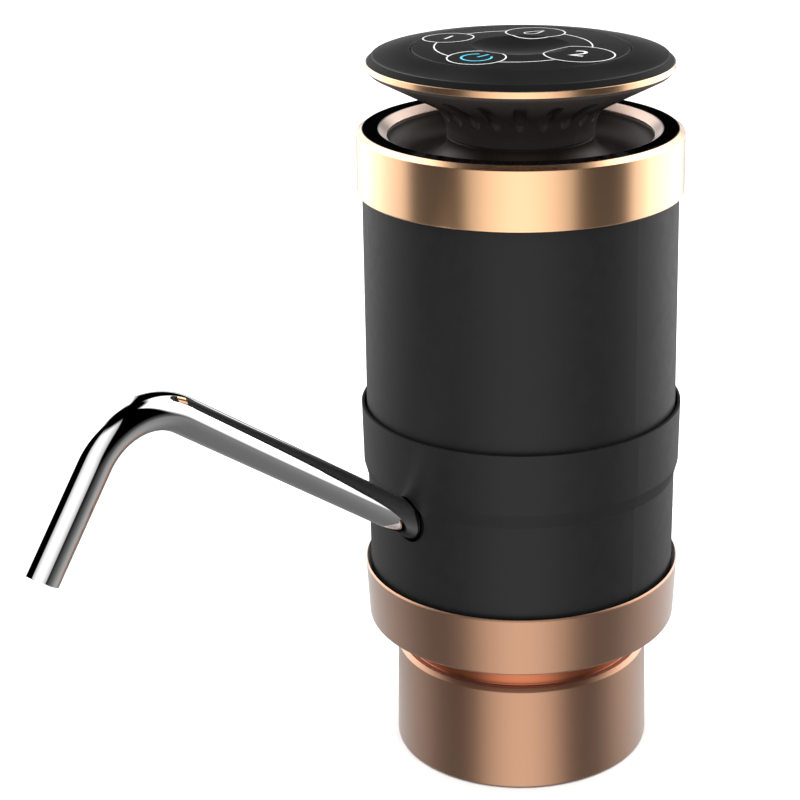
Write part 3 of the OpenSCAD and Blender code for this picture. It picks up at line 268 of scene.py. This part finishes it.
def mesh_object(name, verts, faces, look, body, replaced=(), smooth=True):
    """Makes a mesh from millimetres and gives it a look, a body and a slot."""
    data = bpy.data.meshes.new(name)
    data.from_pydata([(x * MM, y * MM, z * MM) for x, y, z in verts], [], faces)
    data.update()
    data.polygons.foreach_set("use_smooth", [smooth] * len(data.polygons))
    obj = bpy.data.objects.new(name, data)
    bpy.context.scene.collection.objects.link(obj)
    obj.data.materials.append(LOOKS[look])
    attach(obj, body)
    if replaced:
        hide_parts(*replaced)
    return obj


def rounded(points, closed=True):
    """Rounds each corner of a profile of (r, z, fillet) and adds points that hold its flats."""
    out = []
    count = len(points)
    for i, (r, z, fillet) in enumerate(points):
        at_end = not closed and i in (0, count - 1)
        if at_end or fillet <= 0.0:
            out.append((r, z))
            continue
        here = Vector((r, z))
        back = Vector(points[i - 1][:2]) - here
        ahead = Vector(points[(i + 1) % count][:2]) - here
        reach = min(fillet / math.tan(back.angle(ahead) / 2), FILLET_SHARE * back.length,
                    FILLET_SHARE * ahead.length)
        a = here + back.normalized() * reach
        b = here + ahead.normalized() * reach
        hold = min(HOLD, HOLD_SHARE * (back.length - reach), HOLD_SHARE * (ahead.length - reach))
        out.append(tuple(a + back.normalized() * hold))
        for k in range(FILLET_STEPS + 1):
            t = k / FILLET_STEPS
            out.append(tuple((1 - t) ** 2 * a + 2 * t * (1 - t) * here + t ** 2 * b))
        out.append(tuple(b + ahead.normalized() * hold))
    return out


def lathe(name, points, look, replaced, closed=True):
    """Turns a profile of (r, z) round the Z axis."""
    verts, faces, rings = [], [], []
    for r, z in points:
        if r < ON_AXIS:
            rings.append([len(verts)] * LATHE_SIDES)
            verts.append((0.0, 0.0, z))
            continue
        rings.append([len(verts) + k for k in range(LATHE_SIDES)])
        for k in range(LATHE_SIDES):
            a = 2 * math.pi * k / LATHE_SIDES
            verts.append((r * math.cos(a), r * math.sin(a), z))
    pairs = list(zip(rings, rings[1:]))
    if closed:
        pairs.append((rings[-1], rings[0]))
    for low, high in pairs:
        for k in range(LATHE_SIDES):
            n = (k + 1) % LATHE_SIDES
            face = []
            for v in (low[k], low[n], high[n], high[k]):
                if v not in face:
                    face.append(v)
            if len(face) > 2:
                faces.append(face)
    return mesh_object(name, verts, faces, look, "housing", replaced)


def second_look(obj, look, where):
    """Gives the faces whose radius and height pass the test another look."""
    obj.data.materials.append(LOOKS[look])
    for face in obj.data.polygons:
        x, y, z = (v / MM for v in face.center)
        if where(math.hypot(x, y), z):
            face.material_index = 1


# Collar, with the neck between its body and its flange
FLANGE_THICK = 2.2
FLANGE_REACH, COLLAR_FOOT, FLANGE_TOP = cad_size("bottle_collar")
FLANGE_R, FLANGE_LOW = FLANGE_REACH - FIT, FLANGE_TOP - FLANGE_THICK
COLLAR_R, COLLAR_HEAD_R, COLLAR_LIP_R, NECK_R = 30.8, 30.4, 29.5, 28.4
COLLAR_BORE_R, RELIEF_R, WEB_R = 27.8, 28.1, 26.2
COLLAR_TOP, WEB_LOW, WEB_TOP, RELIEF_LOW = 25.7, 21.8, 24.75, 12.0
NECK_CLEAR, NECK_FROM, NECK_TO = 0.2, COLLAR_TOP + 0.1, FLANGE_LOW - 0.4

collar = lathe("collar_skin", rounded([
    (COLLAR_BORE_R, COLLAR_FOOT, 0.4), (COLLAR_R, COLLAR_FOOT, 0.5),
    (COLLAR_HEAD_R, WEB_TOP, 0.25), (COLLAR_LIP_R, COLLAR_TOP, 0.25), (NECK_R, COLLAR_TOP, 0.3),
    (NECK_R, FLANGE_LOW, 0.0), (FLANGE_R, FLANGE_LOW, 0.0), (FLANGE_R, FLANGE_TOP, 0.0),
    (WEB_R, FLANGE_TOP, 0.0), (WEB_R, WEB_TOP, 0.0), (0.0, WEB_TOP, 0.0), (0.0, WEB_LOW, 0.0),
    (RELIEF_R, WEB_LOW, 0.2), (RELIEF_R, RELIEF_LOW, 0.1), (COLLAR_BORE_R, RELIEF_LOW, 0.1)]),
    "satin_copper", ["bottle_collar"])
# The neck's groove gets the redder copper: painted reflection
second_look(collar, "groove_copper_painted_reflection",
            lambda r, z: r < NECK_R + NECK_CLEAR and NECK_FROM < z < NECK_TO)

# Lower ring
FOOT_RING_LOW, FOOT_RING_TOP = cad_size("lower_trim_ring")[1:]
FOOT_RING_R, FOOT_RING_HEAD_R, FOOT_RING_LIP_R, FOOT_RING_IN = 37.15, 37.9, 37.5, 36.45
FOOT_RING_LIP_H, FOOT_RING_BASE = 0.5, 1.4
FOOT_RING_FLOOR = FOOT_RING_LOW + FOOT_RING_BASE

lathe("lower_ring_skin", rounded([
    (NECK_R + FIT, FOOT_RING_LOW, 0.0), (FOOT_RING_R, FOOT_RING_LOW, 0.5),
    (FOOT_RING_HEAD_R, FOOT_RING_TOP - FOOT_RING_LIP_H, 0.12),
    (FOOT_RING_LIP_R, FOOT_RING_TOP, 0.1), (FOOT_RING_IN, FOOT_RING_FLOOR, 0.0),
    (NECK_R + FIT, FOOT_RING_FLOOR, 0.0)]),
    "satin_copper", ["lower_trim_ring"])

# Upper ring, and the annulus and the bezel inside it
BOWL_MID, BOWL_HALF, BOWL_DEEP = 24.0, 6.9, 5.25
TOP_RING_R, TOP_RING_LOW, TOP_RING_TOP = cad_size("upper_trim_ring")
ANNULUS_OUT, SEAT_Z = cad_size("top_annulus")[:2]
BEZEL_OUT = cad_size("bowl_bezel")[0]
TOP_RING_IN, TOP_RING_LIP, TOP_RING_LIP_H = 36.81, ANNULUS_OUT + FIT, 1.05
ANNULUS_SUNK = 0.03
ANNULUS_IN, ANNULUS_TOP = BEZEL_OUT + FIT, TOP_RING_TOP - ANNULUS_SUNK
BEZEL_IN, BEZEL_LOW = BOWL_MID + BOWL_HALF, 152.15

lathe("upper_ring_skin", rounded([
    (TOP_RING_IN, TOP_RING_LOW, 0.05), (TOP_RING_R, TOP_RING_LOW, 0.25),
    (TOP_RING_R, TOP_RING_TOP - TOP_RING_LIP_H, 0.2), (TOP_RING_LIP, TOP_RING_TOP, 0.08),
    (TOP_RING_LIP, SEAT_Z, 0.0), (TOP_RING_IN, SEAT_Z, 0.0)]),
    "polished_rose_gold", ["upper_trim_ring"])
lathe("annulus_skin", rounded([
    (ANNULUS_IN, SEAT_Z, 0.0), (ANNULUS_OUT, SEAT_Z, 0.0), (ANNULUS_OUT, ANNULUS_TOP, 0.08),
    (ANNULUS_IN, ANNULUS_TOP, 0.08)]),
    "gloss_black", ["top_annulus"])
lathe("bezel_skin", rounded([
    (BEZEL_IN, SEAT_Z, 0.0), (BEZEL_OUT, SEAT_Z, 0.0), (BEZEL_OUT, TOP_RING_TOP, 0.12),
    (BEZEL_IN, BEZEL_LOW, 0.15)]),
    "bezel_gold_painted_reflection", ["bowl_bezel"])

# The bowl: half an ellipse for its trough, then the hub with the seam round the stem.
# CRISP is how near the points beside the hub's edges stand to them
BOWL_STEPS = 40
BOWL_R, _, HUB_TOP = cad_size("bowl")
HUB_R, SEAM_R, HUB_BORE, HUB_HOLE_R = BOWL_MID - BOWL_HALF, 16.8, 15.0, 9.0
SEAM_Z, HUB_FLOOR, HUB_UNDER, TROUGH_UNDER = 151.7, 148.4, 145.8, 144.5
HUB_UNDER_R, LEDGE_R, LEDGE_Z = 18.5, 32.7, 149.0
OUTER_BEND = (30.5, 147.0)
CRISP = 0.01

trough = [(BOWL_MID + BOWL_HALF * math.cos(math.pi * i / BOWL_STEPS),
           SEAT_Z - BOWL_DEEP * math.sin(math.pi * i / BOWL_STEPS)) for i in range(BOWL_STEPS + 1)]
hub = [(HUB_R, SEAM_Z - 4 * CRISP), (HUB_R, SEAM_Z - CRISP), (HUB_R - CRISP, SEAM_Z),
       (SEAM_R + 2 * CRISP, SEAM_Z), (SEAM_R, SEAM_Z + CRISP), (SEAM_R, HUB_TOP - 2 * CRISP),
       (SEAM_R - CRISP, HUB_TOP), (HUB_BORE + 5 * CRISP, HUB_TOP), (HUB_BORE, HUB_TOP),
       (HUB_BORE, HUB_TOP - 5 * CRISP), (HUB_BORE, HUB_FLOOR)]
underside = [(HUB_HOLE_R, HUB_FLOOR), (HUB_HOLE_R, HUB_UNDER), (HUB_UNDER_R, HUB_UNDER),
             (BOWL_MID, TROUGH_UNDER), OUTER_BEND, (LEDGE_R, LEDGE_Z), (BOWL_R, LEDGE_Z),
             (BOWL_R, SEAT_Z)]
lathe("bowl_skin", trough + hub + underside, "satin_black_painted_reflection", ["bowl"])

# The head's rim ring
RIM_R, RIM_LOW, RIM_TOP = cad_size("head_rim_ring")
RIM_IN, RIM_FILLET = 33.5, 0.14
lathe("rim_skin", rounded([
    (RIM_IN, RIM_LOW, 0.0), (RIM_R, RIM_LOW, RIM_FILLET), (RIM_R, RIM_TOP, RIM_FILLET),
    (RIM_IN, RIM_TOP, 0.0)]),
    "polished_rose_gold", ["head_rim_ring"])

# The touch panel: a flat dome that falls faster beyond its groove, with a dish in the middle.
# Its top stays a hair under the CAD's
PANEL_R, _, PANEL_CAD_TOP = cad_size("touch_panel")
PANEL_SHY, PANEL_FALL, PANEL_GAP = 0.005, 0.594, 0.05
PANEL_TOP = PANEL_CAD_TOP - PANEL_SHY
PANEL_GROOVE, PANEL_EDGE, PANEL_EDGE_Z = 25.4, 34.0, 170.75
PANEL_FOOT, PANEL_UNDER = RIM_TOP + PANEL_GAP, 170.6
SKIRT_OUT, SKIRT_IN, SKIRT_LOW = 33.4, 31.5, RIM_LOW + PANEL_GAP
DISH_R, DISH_DEEP, DISH_STEPS = 11.2, 0.9, 16
DISH_LIP, DISH_CLEAR = 0.12, 0.4
GROOVE = ((24.88, 0.0), (24.92, 0.06), (24.95, 0.3), (25.35, 0.3), (25.38, 0.06), (25.42, 0.0))
GROOVE_CLEAR = 0.08
INNER_STEPS, OUTER_STEPS = 20, 24
EDGE_IN, EDGE_OUT, EDGE_ROUND, FOOT_ROUND = 0.2, 0.1, 0.9, 0.06
PAINTED_SHADE_R = 34.02


def dome(r):
    fall = PANEL_FALL * (r / PANEL_GROOVE) ** 2
    edge = PANEL_TOP - PANEL_EDGE_Z - PANEL_FALL * (PANEL_EDGE / PANEL_GROOVE) ** 2
    beyond = max(0.0, r - PANEL_GROOVE) / (PANEL_EDGE - PANEL_GROOVE)
    return PANEL_TOP - fall - edge * beyond ** 2


def panel_height(r):
    if r < DISH_R:
        return dome(DISH_R) - DISH_DEEP * (1 - (r / DISH_R) ** 2)
    return dome(r)


def stretch(start, end, steps):
    """Points of the panel's top from one radius to another."""
    radii = [start + (end - start) * i / steps for i in range(steps + 1)]
    return [(r, panel_height(r)) for r in radii]


def panel_profile():
    bend = PANEL_EDGE - EDGE_IN
    points = stretch(0.0, DISH_R, DISH_STEPS)[:-1]
    points += stretch(DISH_R - DISH_LIP, DISH_R + DISH_LIP, 2)
    points += stretch(DISH_R + DISH_CLEAR, GROOVE[0][0] - GROOVE_CLEAR, INNER_STEPS)
    points += [(r, dome(r) - drop) for r, drop in GROOVE]
    points += stretch(GROOVE[-1][0] + GROOVE_CLEAR, bend - EDGE_OUT, OUTER_STEPS)
    points += rounded([
        (bend, dome(bend), 0.0), (PANEL_EDGE + EDGE_OUT, PANEL_EDGE_Z - EDGE_OUT, EDGE_ROUND),
        (PANEL_R, PANEL_FOOT, FOOT_ROUND), (SKIRT_OUT, PANEL_FOOT, 0.0)], closed=False)[1:]
    return points + [(SKIRT_OUT, SKIRT_LOW), (SKIRT_IN, SKIRT_LOW), (SKIRT_IN, PANEL_UNDER),
                     (0.0, PANEL_UNDER)]


panel = lathe("panel_skin", panel_profile(), "panel_black", ["touch_panel"],
              closed=False)
# The groove's faces and the panel's outer shoulder get the duller look: painted shade
second_look(panel, "panel_painted_shade",
            lambda r, z: r > PAINTED_SHADE_R or GROOVE[1][0] < r < GROOVE[-2][0])


# Prints on the panel. They lie in layers just over it, in the order of their lifts.
# ARC_STEP is the angle between an arc's points, times its radius
ARC_STEP = 25.0
LOOP_LIFT, KEY_LIFT, EDGE_LIFT, SIGN_LIFT = 0.03, 0.05, 0.07, 0.09
LINE, SIGN_LINE = 0.35, 0.5
LOOP_AT, LOOP_R = (-1.01, -1.37), 18.05
KEYS = {
    "power": ((2.79, -16.58), 6.58),
    "one": ((-18.70, -5.14), 5.92),
    "two": ((16.13, 2.43), 8.01),
    "drop": ((-8.67, 13.48), 6.99),
}
DISC_RINGS, DISC_SIDES = 12, 96
POWER_R, POWER_FROM, POWER_TO = 3.4, 125.0, 415.0
POWER_BAR, BAR_STEPS = (0.3, 3.8), 8
NUMERAL_TURN = 21.0
NUMERALS = (("one", "1", 6.0), ("two", "2", 8.0))
DROP_HALF_W, DROP_HALF_H, DROP_TAPER, DROP_STEPS = 2.3, 3.3, 1.5, 64
DROP_IN_W, DROP_IN_H, DROP_IN_LOWER = 0.78, 0.80, 0.35


def on_panel(x, y, lift):
    return (x, y, panel_height(math.hypot(x, y)) + lift)


def patch(name, rows, look, lift):
    """A printed mark: rows of (x, y) points, laid on the panel's surface."""
    width = len(rows[0])
    verts = [on_panel(x, y, lift) for row in rows for x, y in row]
    faces = []
    for i in range(len(rows) - 1):
        for j in range(width - 1):
            a = i * width + j
            faces.append((a, a + 1, a + width + 1, a + width))
    mesh_object(name, verts, faces, look, "housing")


def arc(centre, radius, start, end, count):
    turns = [math.radians(start + (end - start) * i / count) for i in range(count + 1)]
    return [(centre[0] + radius * math.cos(a), centre[1] + radius * math.sin(a)) for a in turns]


def ring_print(name, centre, radius, line, look, lift, start=0.0, end=360.0):
    count = int((end - start) * radius / ARC_STEP)
    patch(name, [arc(centre, radius + side * line / 2, start, end, count) for side in (-1, 1)],
          look, lift)


def disc_print(name, centre, radius, look, lift):
    patch(name, [arc(centre, radius * i / DISC_RINGS, 0.0, 360.0, DISC_SIDES)
                 for i in range(1, DISC_RINGS + 1)], look, lift)


def bar_print(name, low, high, line, look, lift):
    """An upright bar from one point to another."""
    heights = [low[1] + (high[1] - low[1]) * i / BAR_STEPS for i in range(BAR_STEPS + 1)]
    patch(name, [[(low[0] - side * line / 2, y) for y in heights] for side in (-1, 1)], look, lift)


def numeral_print(name, text, at, size):
    curve = bpy.data.curves.new(name, "FONT")
    curve.body = text
    curve.size = size
    curve.align_x = "CENTER"
    curve.align_y = "CENTER"
    holder = bpy.data.objects.new(name + "_curve", curve)
    bpy.context.scene.collection.objects.link(holder)
    bpy.context.view_layer.update()
    graph = bpy.context.evaluated_depsgraph_get()
    flat = bpy.data.meshes.new_from_object(holder.evaluated_get(graph))
    bpy.data.objects.remove(holder)
    turn = Matrix.Rotation(math.radians(NUMERAL_TURN), 2)
    spots = [turn @ Vector(v.co[:2]) + Vector(at) for v in flat.vertices]
    verts = [on_panel(spot.x, spot.y, SIGN_LIFT) for spot in spots]
    faces = [tuple(p.vertices) for p in flat.polygons]
    bpy.data.meshes.remove(flat)
    mesh_object(name, verts, faces, "print_white", "housing", smooth=False)


def drop_print(name, at):
    """An outlined water drop."""
    outline = []
    for i in range(DROP_STEPS + 1):
        t = 2 * math.pi * i / DROP_STEPS
        outline.append((at[0] + DROP_HALF_W * math.sin(t) * math.sin(t / 2) ** DROP_TAPER,
                        at[1] + DROP_HALF_H * math.cos(t)))
    inner = [(at[0] + (x - at[0]) * DROP_IN_W, at[1] - DROP_IN_LOWER + (y - at[1]) * DROP_IN_H)
             for x, y in outline]
    patch(name, [inner, outline], "print_white", SIGN_LIFT)


ring_print("print_ring", LOOP_AT, LOOP_R, LINE, "print_white", LOOP_LIFT)
for key_name, (key_at, key_r) in KEYS.items():
    disc_print("print_key_" + key_name, key_at, key_r, "print_key", KEY_LIFT)
    ring_print("print_edge_" + key_name, key_at, key_r, LINE, "print_white", EDGE_LIFT)
power_x, power_y = KEYS["power"][0]
ring_print("print_power_arc", (power_x, power_y), POWER_R, SIGN_LINE, "print_cyan", SIGN_LIFT,
           POWER_FROM, POWER_TO)
bar_print("print_power_bar", (power_x, power_y + POWER_BAR[0]), (power_x, power_y + POWER_BAR[1]),
          SIGN_LINE, "print_cyan", SIGN_LIFT)
for key_name, text, size in NUMERALS:
    numeral_print("print_numeral_" + key_name, text, KEYS[key_name][0], size)
drop_print("print_drop", KEYS["drop"][0])


# Spout: it leaves its hole along the swivel joint's axis, bends and falls
swivel = next(j for j in record["behaviour"]["joints"] if j["name"] == "spout_swivel")
HOLE = Vector(swivel["pos_m"]) / MM
CLIMB, FALL = math.asin(swivel["axis"][2]), math.radians(56.7)
LEG_A, LEG_B, BEND, TUBE_IN = 90.6, 40.7, 15.5, 14.5
TUBE_R, BORE_R = 4.0, 3.5
BEND_STEPS, TUBE_SIDES = 48, 96
BEFORE_BEND, AFTER_BEND, BEFORE_END = (20, 2), 2, 1
END_ROUND, END_STEPS, END_HOLD, BORE_ROUND_SHARE = 0.12, 4, 0.1, 0.6


def spout_path():
    """Points along the middle of the tube, each with the way it runs there."""
    out = Vector((0.0, -math.cos(CLIMB), math.sin(CLIMB)))
    down = Vector((0.0, -math.cos(FALL), -math.sin(FALL)))
    inward = Vector((0.0, -math.sin(CLIMB), -math.cos(CLIMB)))
    cut = BEND * math.tan((CLIMB + FALL) / 2)
    corner = HOLE + out * LEG_A
    start = corner - out * cut
    centre = start + inward * BEND
    path = [(HOLE - out * TUBE_IN, out), (HOLE, out)]
    path += [(start - out * far, out) for far in BEFORE_BEND]
    for i in range(BEND_STEPS + 1):
        turn = Matrix.Rotation((CLIMB + FALL) * i / BEND_STEPS, 3, "X")
        path.append((centre + turn @ (start - centre), turn @ out))
    return path + [(corner + down * far, down)
                   for far in (cut + AFTER_BEND, LEG_B - BEFORE_END, LEG_B)]


def tube(name, path, look, replaced, body):
    """The outside of a tube along the path, its squared and rounded end, and its inside."""
    rows = [(at, way, TUBE_R) for at, way in path[:-1]]
    end, way = path[-1]
    rows.append((end - way * (END_ROUND + END_HOLD), way, TUBE_R))
    for k in range(END_STEPS + 1):
        a = math.pi / 2 * k / END_STEPS
        rows.append((end - way * END_ROUND * (1 - math.sin(a)), way,
                     TUBE_R - END_ROUND * (1 - math.cos(a))))
    bore_round = END_ROUND * BORE_ROUND_SHARE
    rows.append((end, way, BORE_R + bore_round))
    rows.append((end - way * bore_round, way, BORE_R))
    rows += [(at, back, BORE_R) for at, back in reversed(path[:-1])]
    across = Vector((1.0, 0.0, 0.0))
    verts, faces = [], []
    for at, run, r in rows:
        up = across.cross(run)
        for k in range(TUBE_SIDES):
            a = 2 * math.pi * k / TUBE_SIDES
            verts.append(tuple(at + across * r * math.cos(a) + up * r * math.sin(a)))
    for i in range(len(rows)):
        here, there = i * TUBE_SIDES, (i + 1) % len(rows) * TUBE_SIDES
        for k in range(TUBE_SIDES):
            m = (k + 1) % TUBE_SIDES
            faces.append((here + k, here + m, there + m, there + k))
    mesh_object(name, verts, faces, look, body, replaced)


tube("spout_skin", spout_path(), "bright_steel_tube", ["spout_tube"], "spout")


# Floor and light
FLOOR_HALF_M, FLOOR_GAP_M = 6.0, 0.0002
AIM_M = (0.0, 0.0, 0.1)
DOME_R_M, DOME_SEGMENTS, DOME_RINGS = 3.0, 48, 24
TOP_LIGHT_M, TOP_LIGHT_OFF_M, TOP_LIGHT_SIZE_M, TOP_LIGHT_WATTS = 1.8, 0.05, 2.4, 60.0

# The studio's soft boxes, by angle. "Round" is from the camera's side, "up" from the horizon,
# and each pair says where a box's light starts and where it is full
BOX_TOP = (68.0, 54.0)
FRONT = {"edge": (40.5, 35.5), "fall": (66.0, 0.0), "foot": (-72.0, -48.0), "glow": 1.33}
LEFT = {"at": -122.0, "edge": (42.0, 36.0), "foot": (-22.0, -16.0), "gain": (85.0, 135.0),
        "glow": 1.0}
RIGHT = {"at": 119.5, "edge": (41.0, 36.5), "foot": (-27.0, -20.0), "gain": (84.0, 112.0),
         "glow": 1.05}
SIDE_RISE, SIDE_RISE_GLOW = (-16.0, 10.0), 0.9
SIDE_END, SIDE_END_SHARE = (152.0, 137.0), 0.5
BEHIND = {"edge": (150.0, 165.0), "top": (11.0, 3.0), "foot": (-6.0, 2.0), "glow": 1.1}
GROUND_FROM, GROUND_GLOW = (0.0, -30.0), 0.16
LIT_GROUND = {"top": (-18.0, -24.0), "foot": (-78.0, -30.0), "near": (60.0, 10.0), "glow": 0.26}


def floor():
    data = bpy.data.meshes.new("floor")
    w = FLOOR_HALF_M
    data.from_pydata([(-w, -w, 0), (w, -w, 0), (w, w, 0), (-w, w, 0)], [], [(0, 1, 2, 3)])
    obj = bpy.data.objects.new("floor", data)
    bpy.context.scene.collection.objects.link(obj)
    obj.location = (0.0, 0.0, -FLOOR_GAP_M)
    obj.data.materials.append(LOOKS["floor"])
    obj.visible_glossy = False


class Graph:
    """Short forms for the nodes of the studio's light."""

    def __init__(self, tree):
        self.tree = tree

    def math(self, operation, *values):
        node = self.tree.nodes.new("ShaderNodeMath")
        node.operation = operation
        for socket, value in zip(node.inputs, values):
            if isinstance(value, (int, float)):
                socket.default_value = value
            else:
                self.tree.links.new(value, socket)
        return node.outputs[0]

    def ramp(self, value, pair):
        """0 at the pair's first value and 1 at its second, with a smooth rise between them."""
        start, end = pair
        node = self.tree.nodes.new("ShaderNodeMapRange")
        node.interpolation_type = "SMOOTHSTEP"
        self.tree.links.new(value, node.inputs["Value"])
        node.inputs["From Min"].default_value = min(start, end)
        node.inputs["From Max"].default_value = max(start, end)
        node.inputs["To Min"].default_value = 0.0 if start < end else 1.0
        node.inputs["To Max"].default_value = 1.0 if start < end else 0.0
        return node.outputs[0]

    def product(self, first, *others):
        for other in others:
            first = self.math("MULTIPLY", first, other)
        return first

    def total(self, first, *others):
        for other in others:
            first = self.math("ADD", first, other)
        return first


def studio_glow(graph, round_by, up):
    """The light of the boxes and of the ground, in one direction."""
    front = graph.math("ABSOLUTE", round_by)
    top = graph.ramp(up, BOX_TOP)
    rise = graph.product(graph.ramp(up, SIDE_RISE), SIDE_RISE_GLOW)
    far_end = graph.total(graph.product(graph.ramp(front, SIDE_END), SIDE_END_SHARE),
                          1.0 - SIDE_END_SHARE)
    light = [graph.product(graph.ramp(front, FRONT["edge"]), graph.ramp(front, FRONT["fall"]),
                           graph.ramp(up, FRONT["foot"]), top, FRONT["glow"])]
    near = front
    for box in (LEFT, RIGHT):
        away = graph.math("PINGPONG", graph.math("SUBTRACT", round_by, box["at"]), 180.0)
        near = graph.math("MINIMUM", near, away)
        glow = graph.total(rise, graph.ramp(front, box["gain"]), box["glow"])
        light.append(graph.product(far_end, graph.ramp(away, box["edge"]),
                                   graph.ramp(up, box["foot"]), top, glow))
    light.append(graph.product(graph.ramp(front, BEHIND["edge"]), graph.ramp(up, BEHIND["top"]),
                               graph.ramp(up, BEHIND["foot"]), BEHIND["glow"]))
    light.append(graph.product(graph.ramp(up, GROUND_FROM), GROUND_GLOW))
    light.append(graph.product(graph.ramp(up, LIT_GROUND["top"]),
                               graph.ramp(up, LIT_GROUND["foot"]),
                               graph.ramp(near, LIT_GROUND["near"]), LIT_GROUND["glow"]))
    return graph.total(*light)


def studio():
    """Soft boxes of a photo studio round the object, seen only in its reflections."""
    mat = bpy.data.materials.new("studio_boxes")
    mat.use_nodes = True
    tree = mat.node_tree
    tree.nodes.clear()
    graph = Graph(tree)
    place = tree.nodes.new("ShaderNodeTexCoord")
    unit = tree.nodes.new("ShaderNodeVectorMath")
    unit.operation = "NORMALIZE"
    split = tree.nodes.new("ShaderNodeSeparateXYZ")
    tree.links.new(place.outputs["Object"], unit.inputs[0])
    tree.links.new(unit.outputs[0], split.inputs[0])
    x, y, z = split.outputs
    up = graph.math("DEGREES", graph.math("ARCSINE", z))
    round_by = graph.math("DEGREES", graph.math("ARCTAN2", y, x))
    glow = tree.nodes.new("ShaderNodeEmission")
    out = tree.nodes.new("ShaderNodeOutputMaterial")
    tree.links.new(studio_glow(graph, round_by, up), glow.inputs["Strength"])
    tree.links.new(glow.outputs[0], out.inputs["Surface"])

    bpy.ops.mesh.primitive_uv_sphere_add(segments=DOME_SEGMENTS, ring_count=DOME_RINGS,
                                         radius=DOME_R_M)
    dome_obj = bpy.context.object
    dome_obj.name = "studio_dome"
    dome_obj.rotation_euler = (0.0, 0.0, math.radians(CAM_SIDE))
    dome_obj.location = AIM_M
    dome_obj.data.materials.append(mat)
    dome_obj.visible_camera = False
    dome_obj.visible_diffuse = False
    dome_obj.visible_shadow = False
    dome_obj.visible_transmission = False
    dome_obj.visible_volume_scatter = False


def top_light():
    """One large soft light from above, which adds no highlight of its own."""
    data = bpy.data.lights.new("top", "AREA")
    data.shape = "RECTANGLE"
    data.size = data.size_y = TOP_LIGHT_SIZE_M
    data.energy = TOP_LIGHT_WATTS
    obj = bpy.data.objects.new("top", data)
    bpy.context.scene.collection.objects.link(obj)
    a = math.radians(CAM_SIDE)
    obj.location = (TOP_LIGHT_OFF_M * math.cos(a), TOP_LIGHT_OFF_M * math.sin(a), TOP_LIGHT_M)
    obj.rotation_euler = (Vector(AIM_M) - obj.location).to_track_quat("-Z", "Y").to_euler()
    obj.visible_glossy = False


def white_surround():
    world = bpy.data.worlds.new("studio")
    bpy.context.scene.world = world
    world.use_nodes = True
    background = world.node_tree.nodes["Background"]
    background.inputs["Color"].default_value = (1.0, 1.0, 1.0, 1.0)
    background.inputs["Strength"].default_value = 1.0


floor()
studio()
top_light()
white_surround()
bpy.context.scene.view_settings.view_transform = "Standard"
bpy.context.scene.view_settings.look = "None"
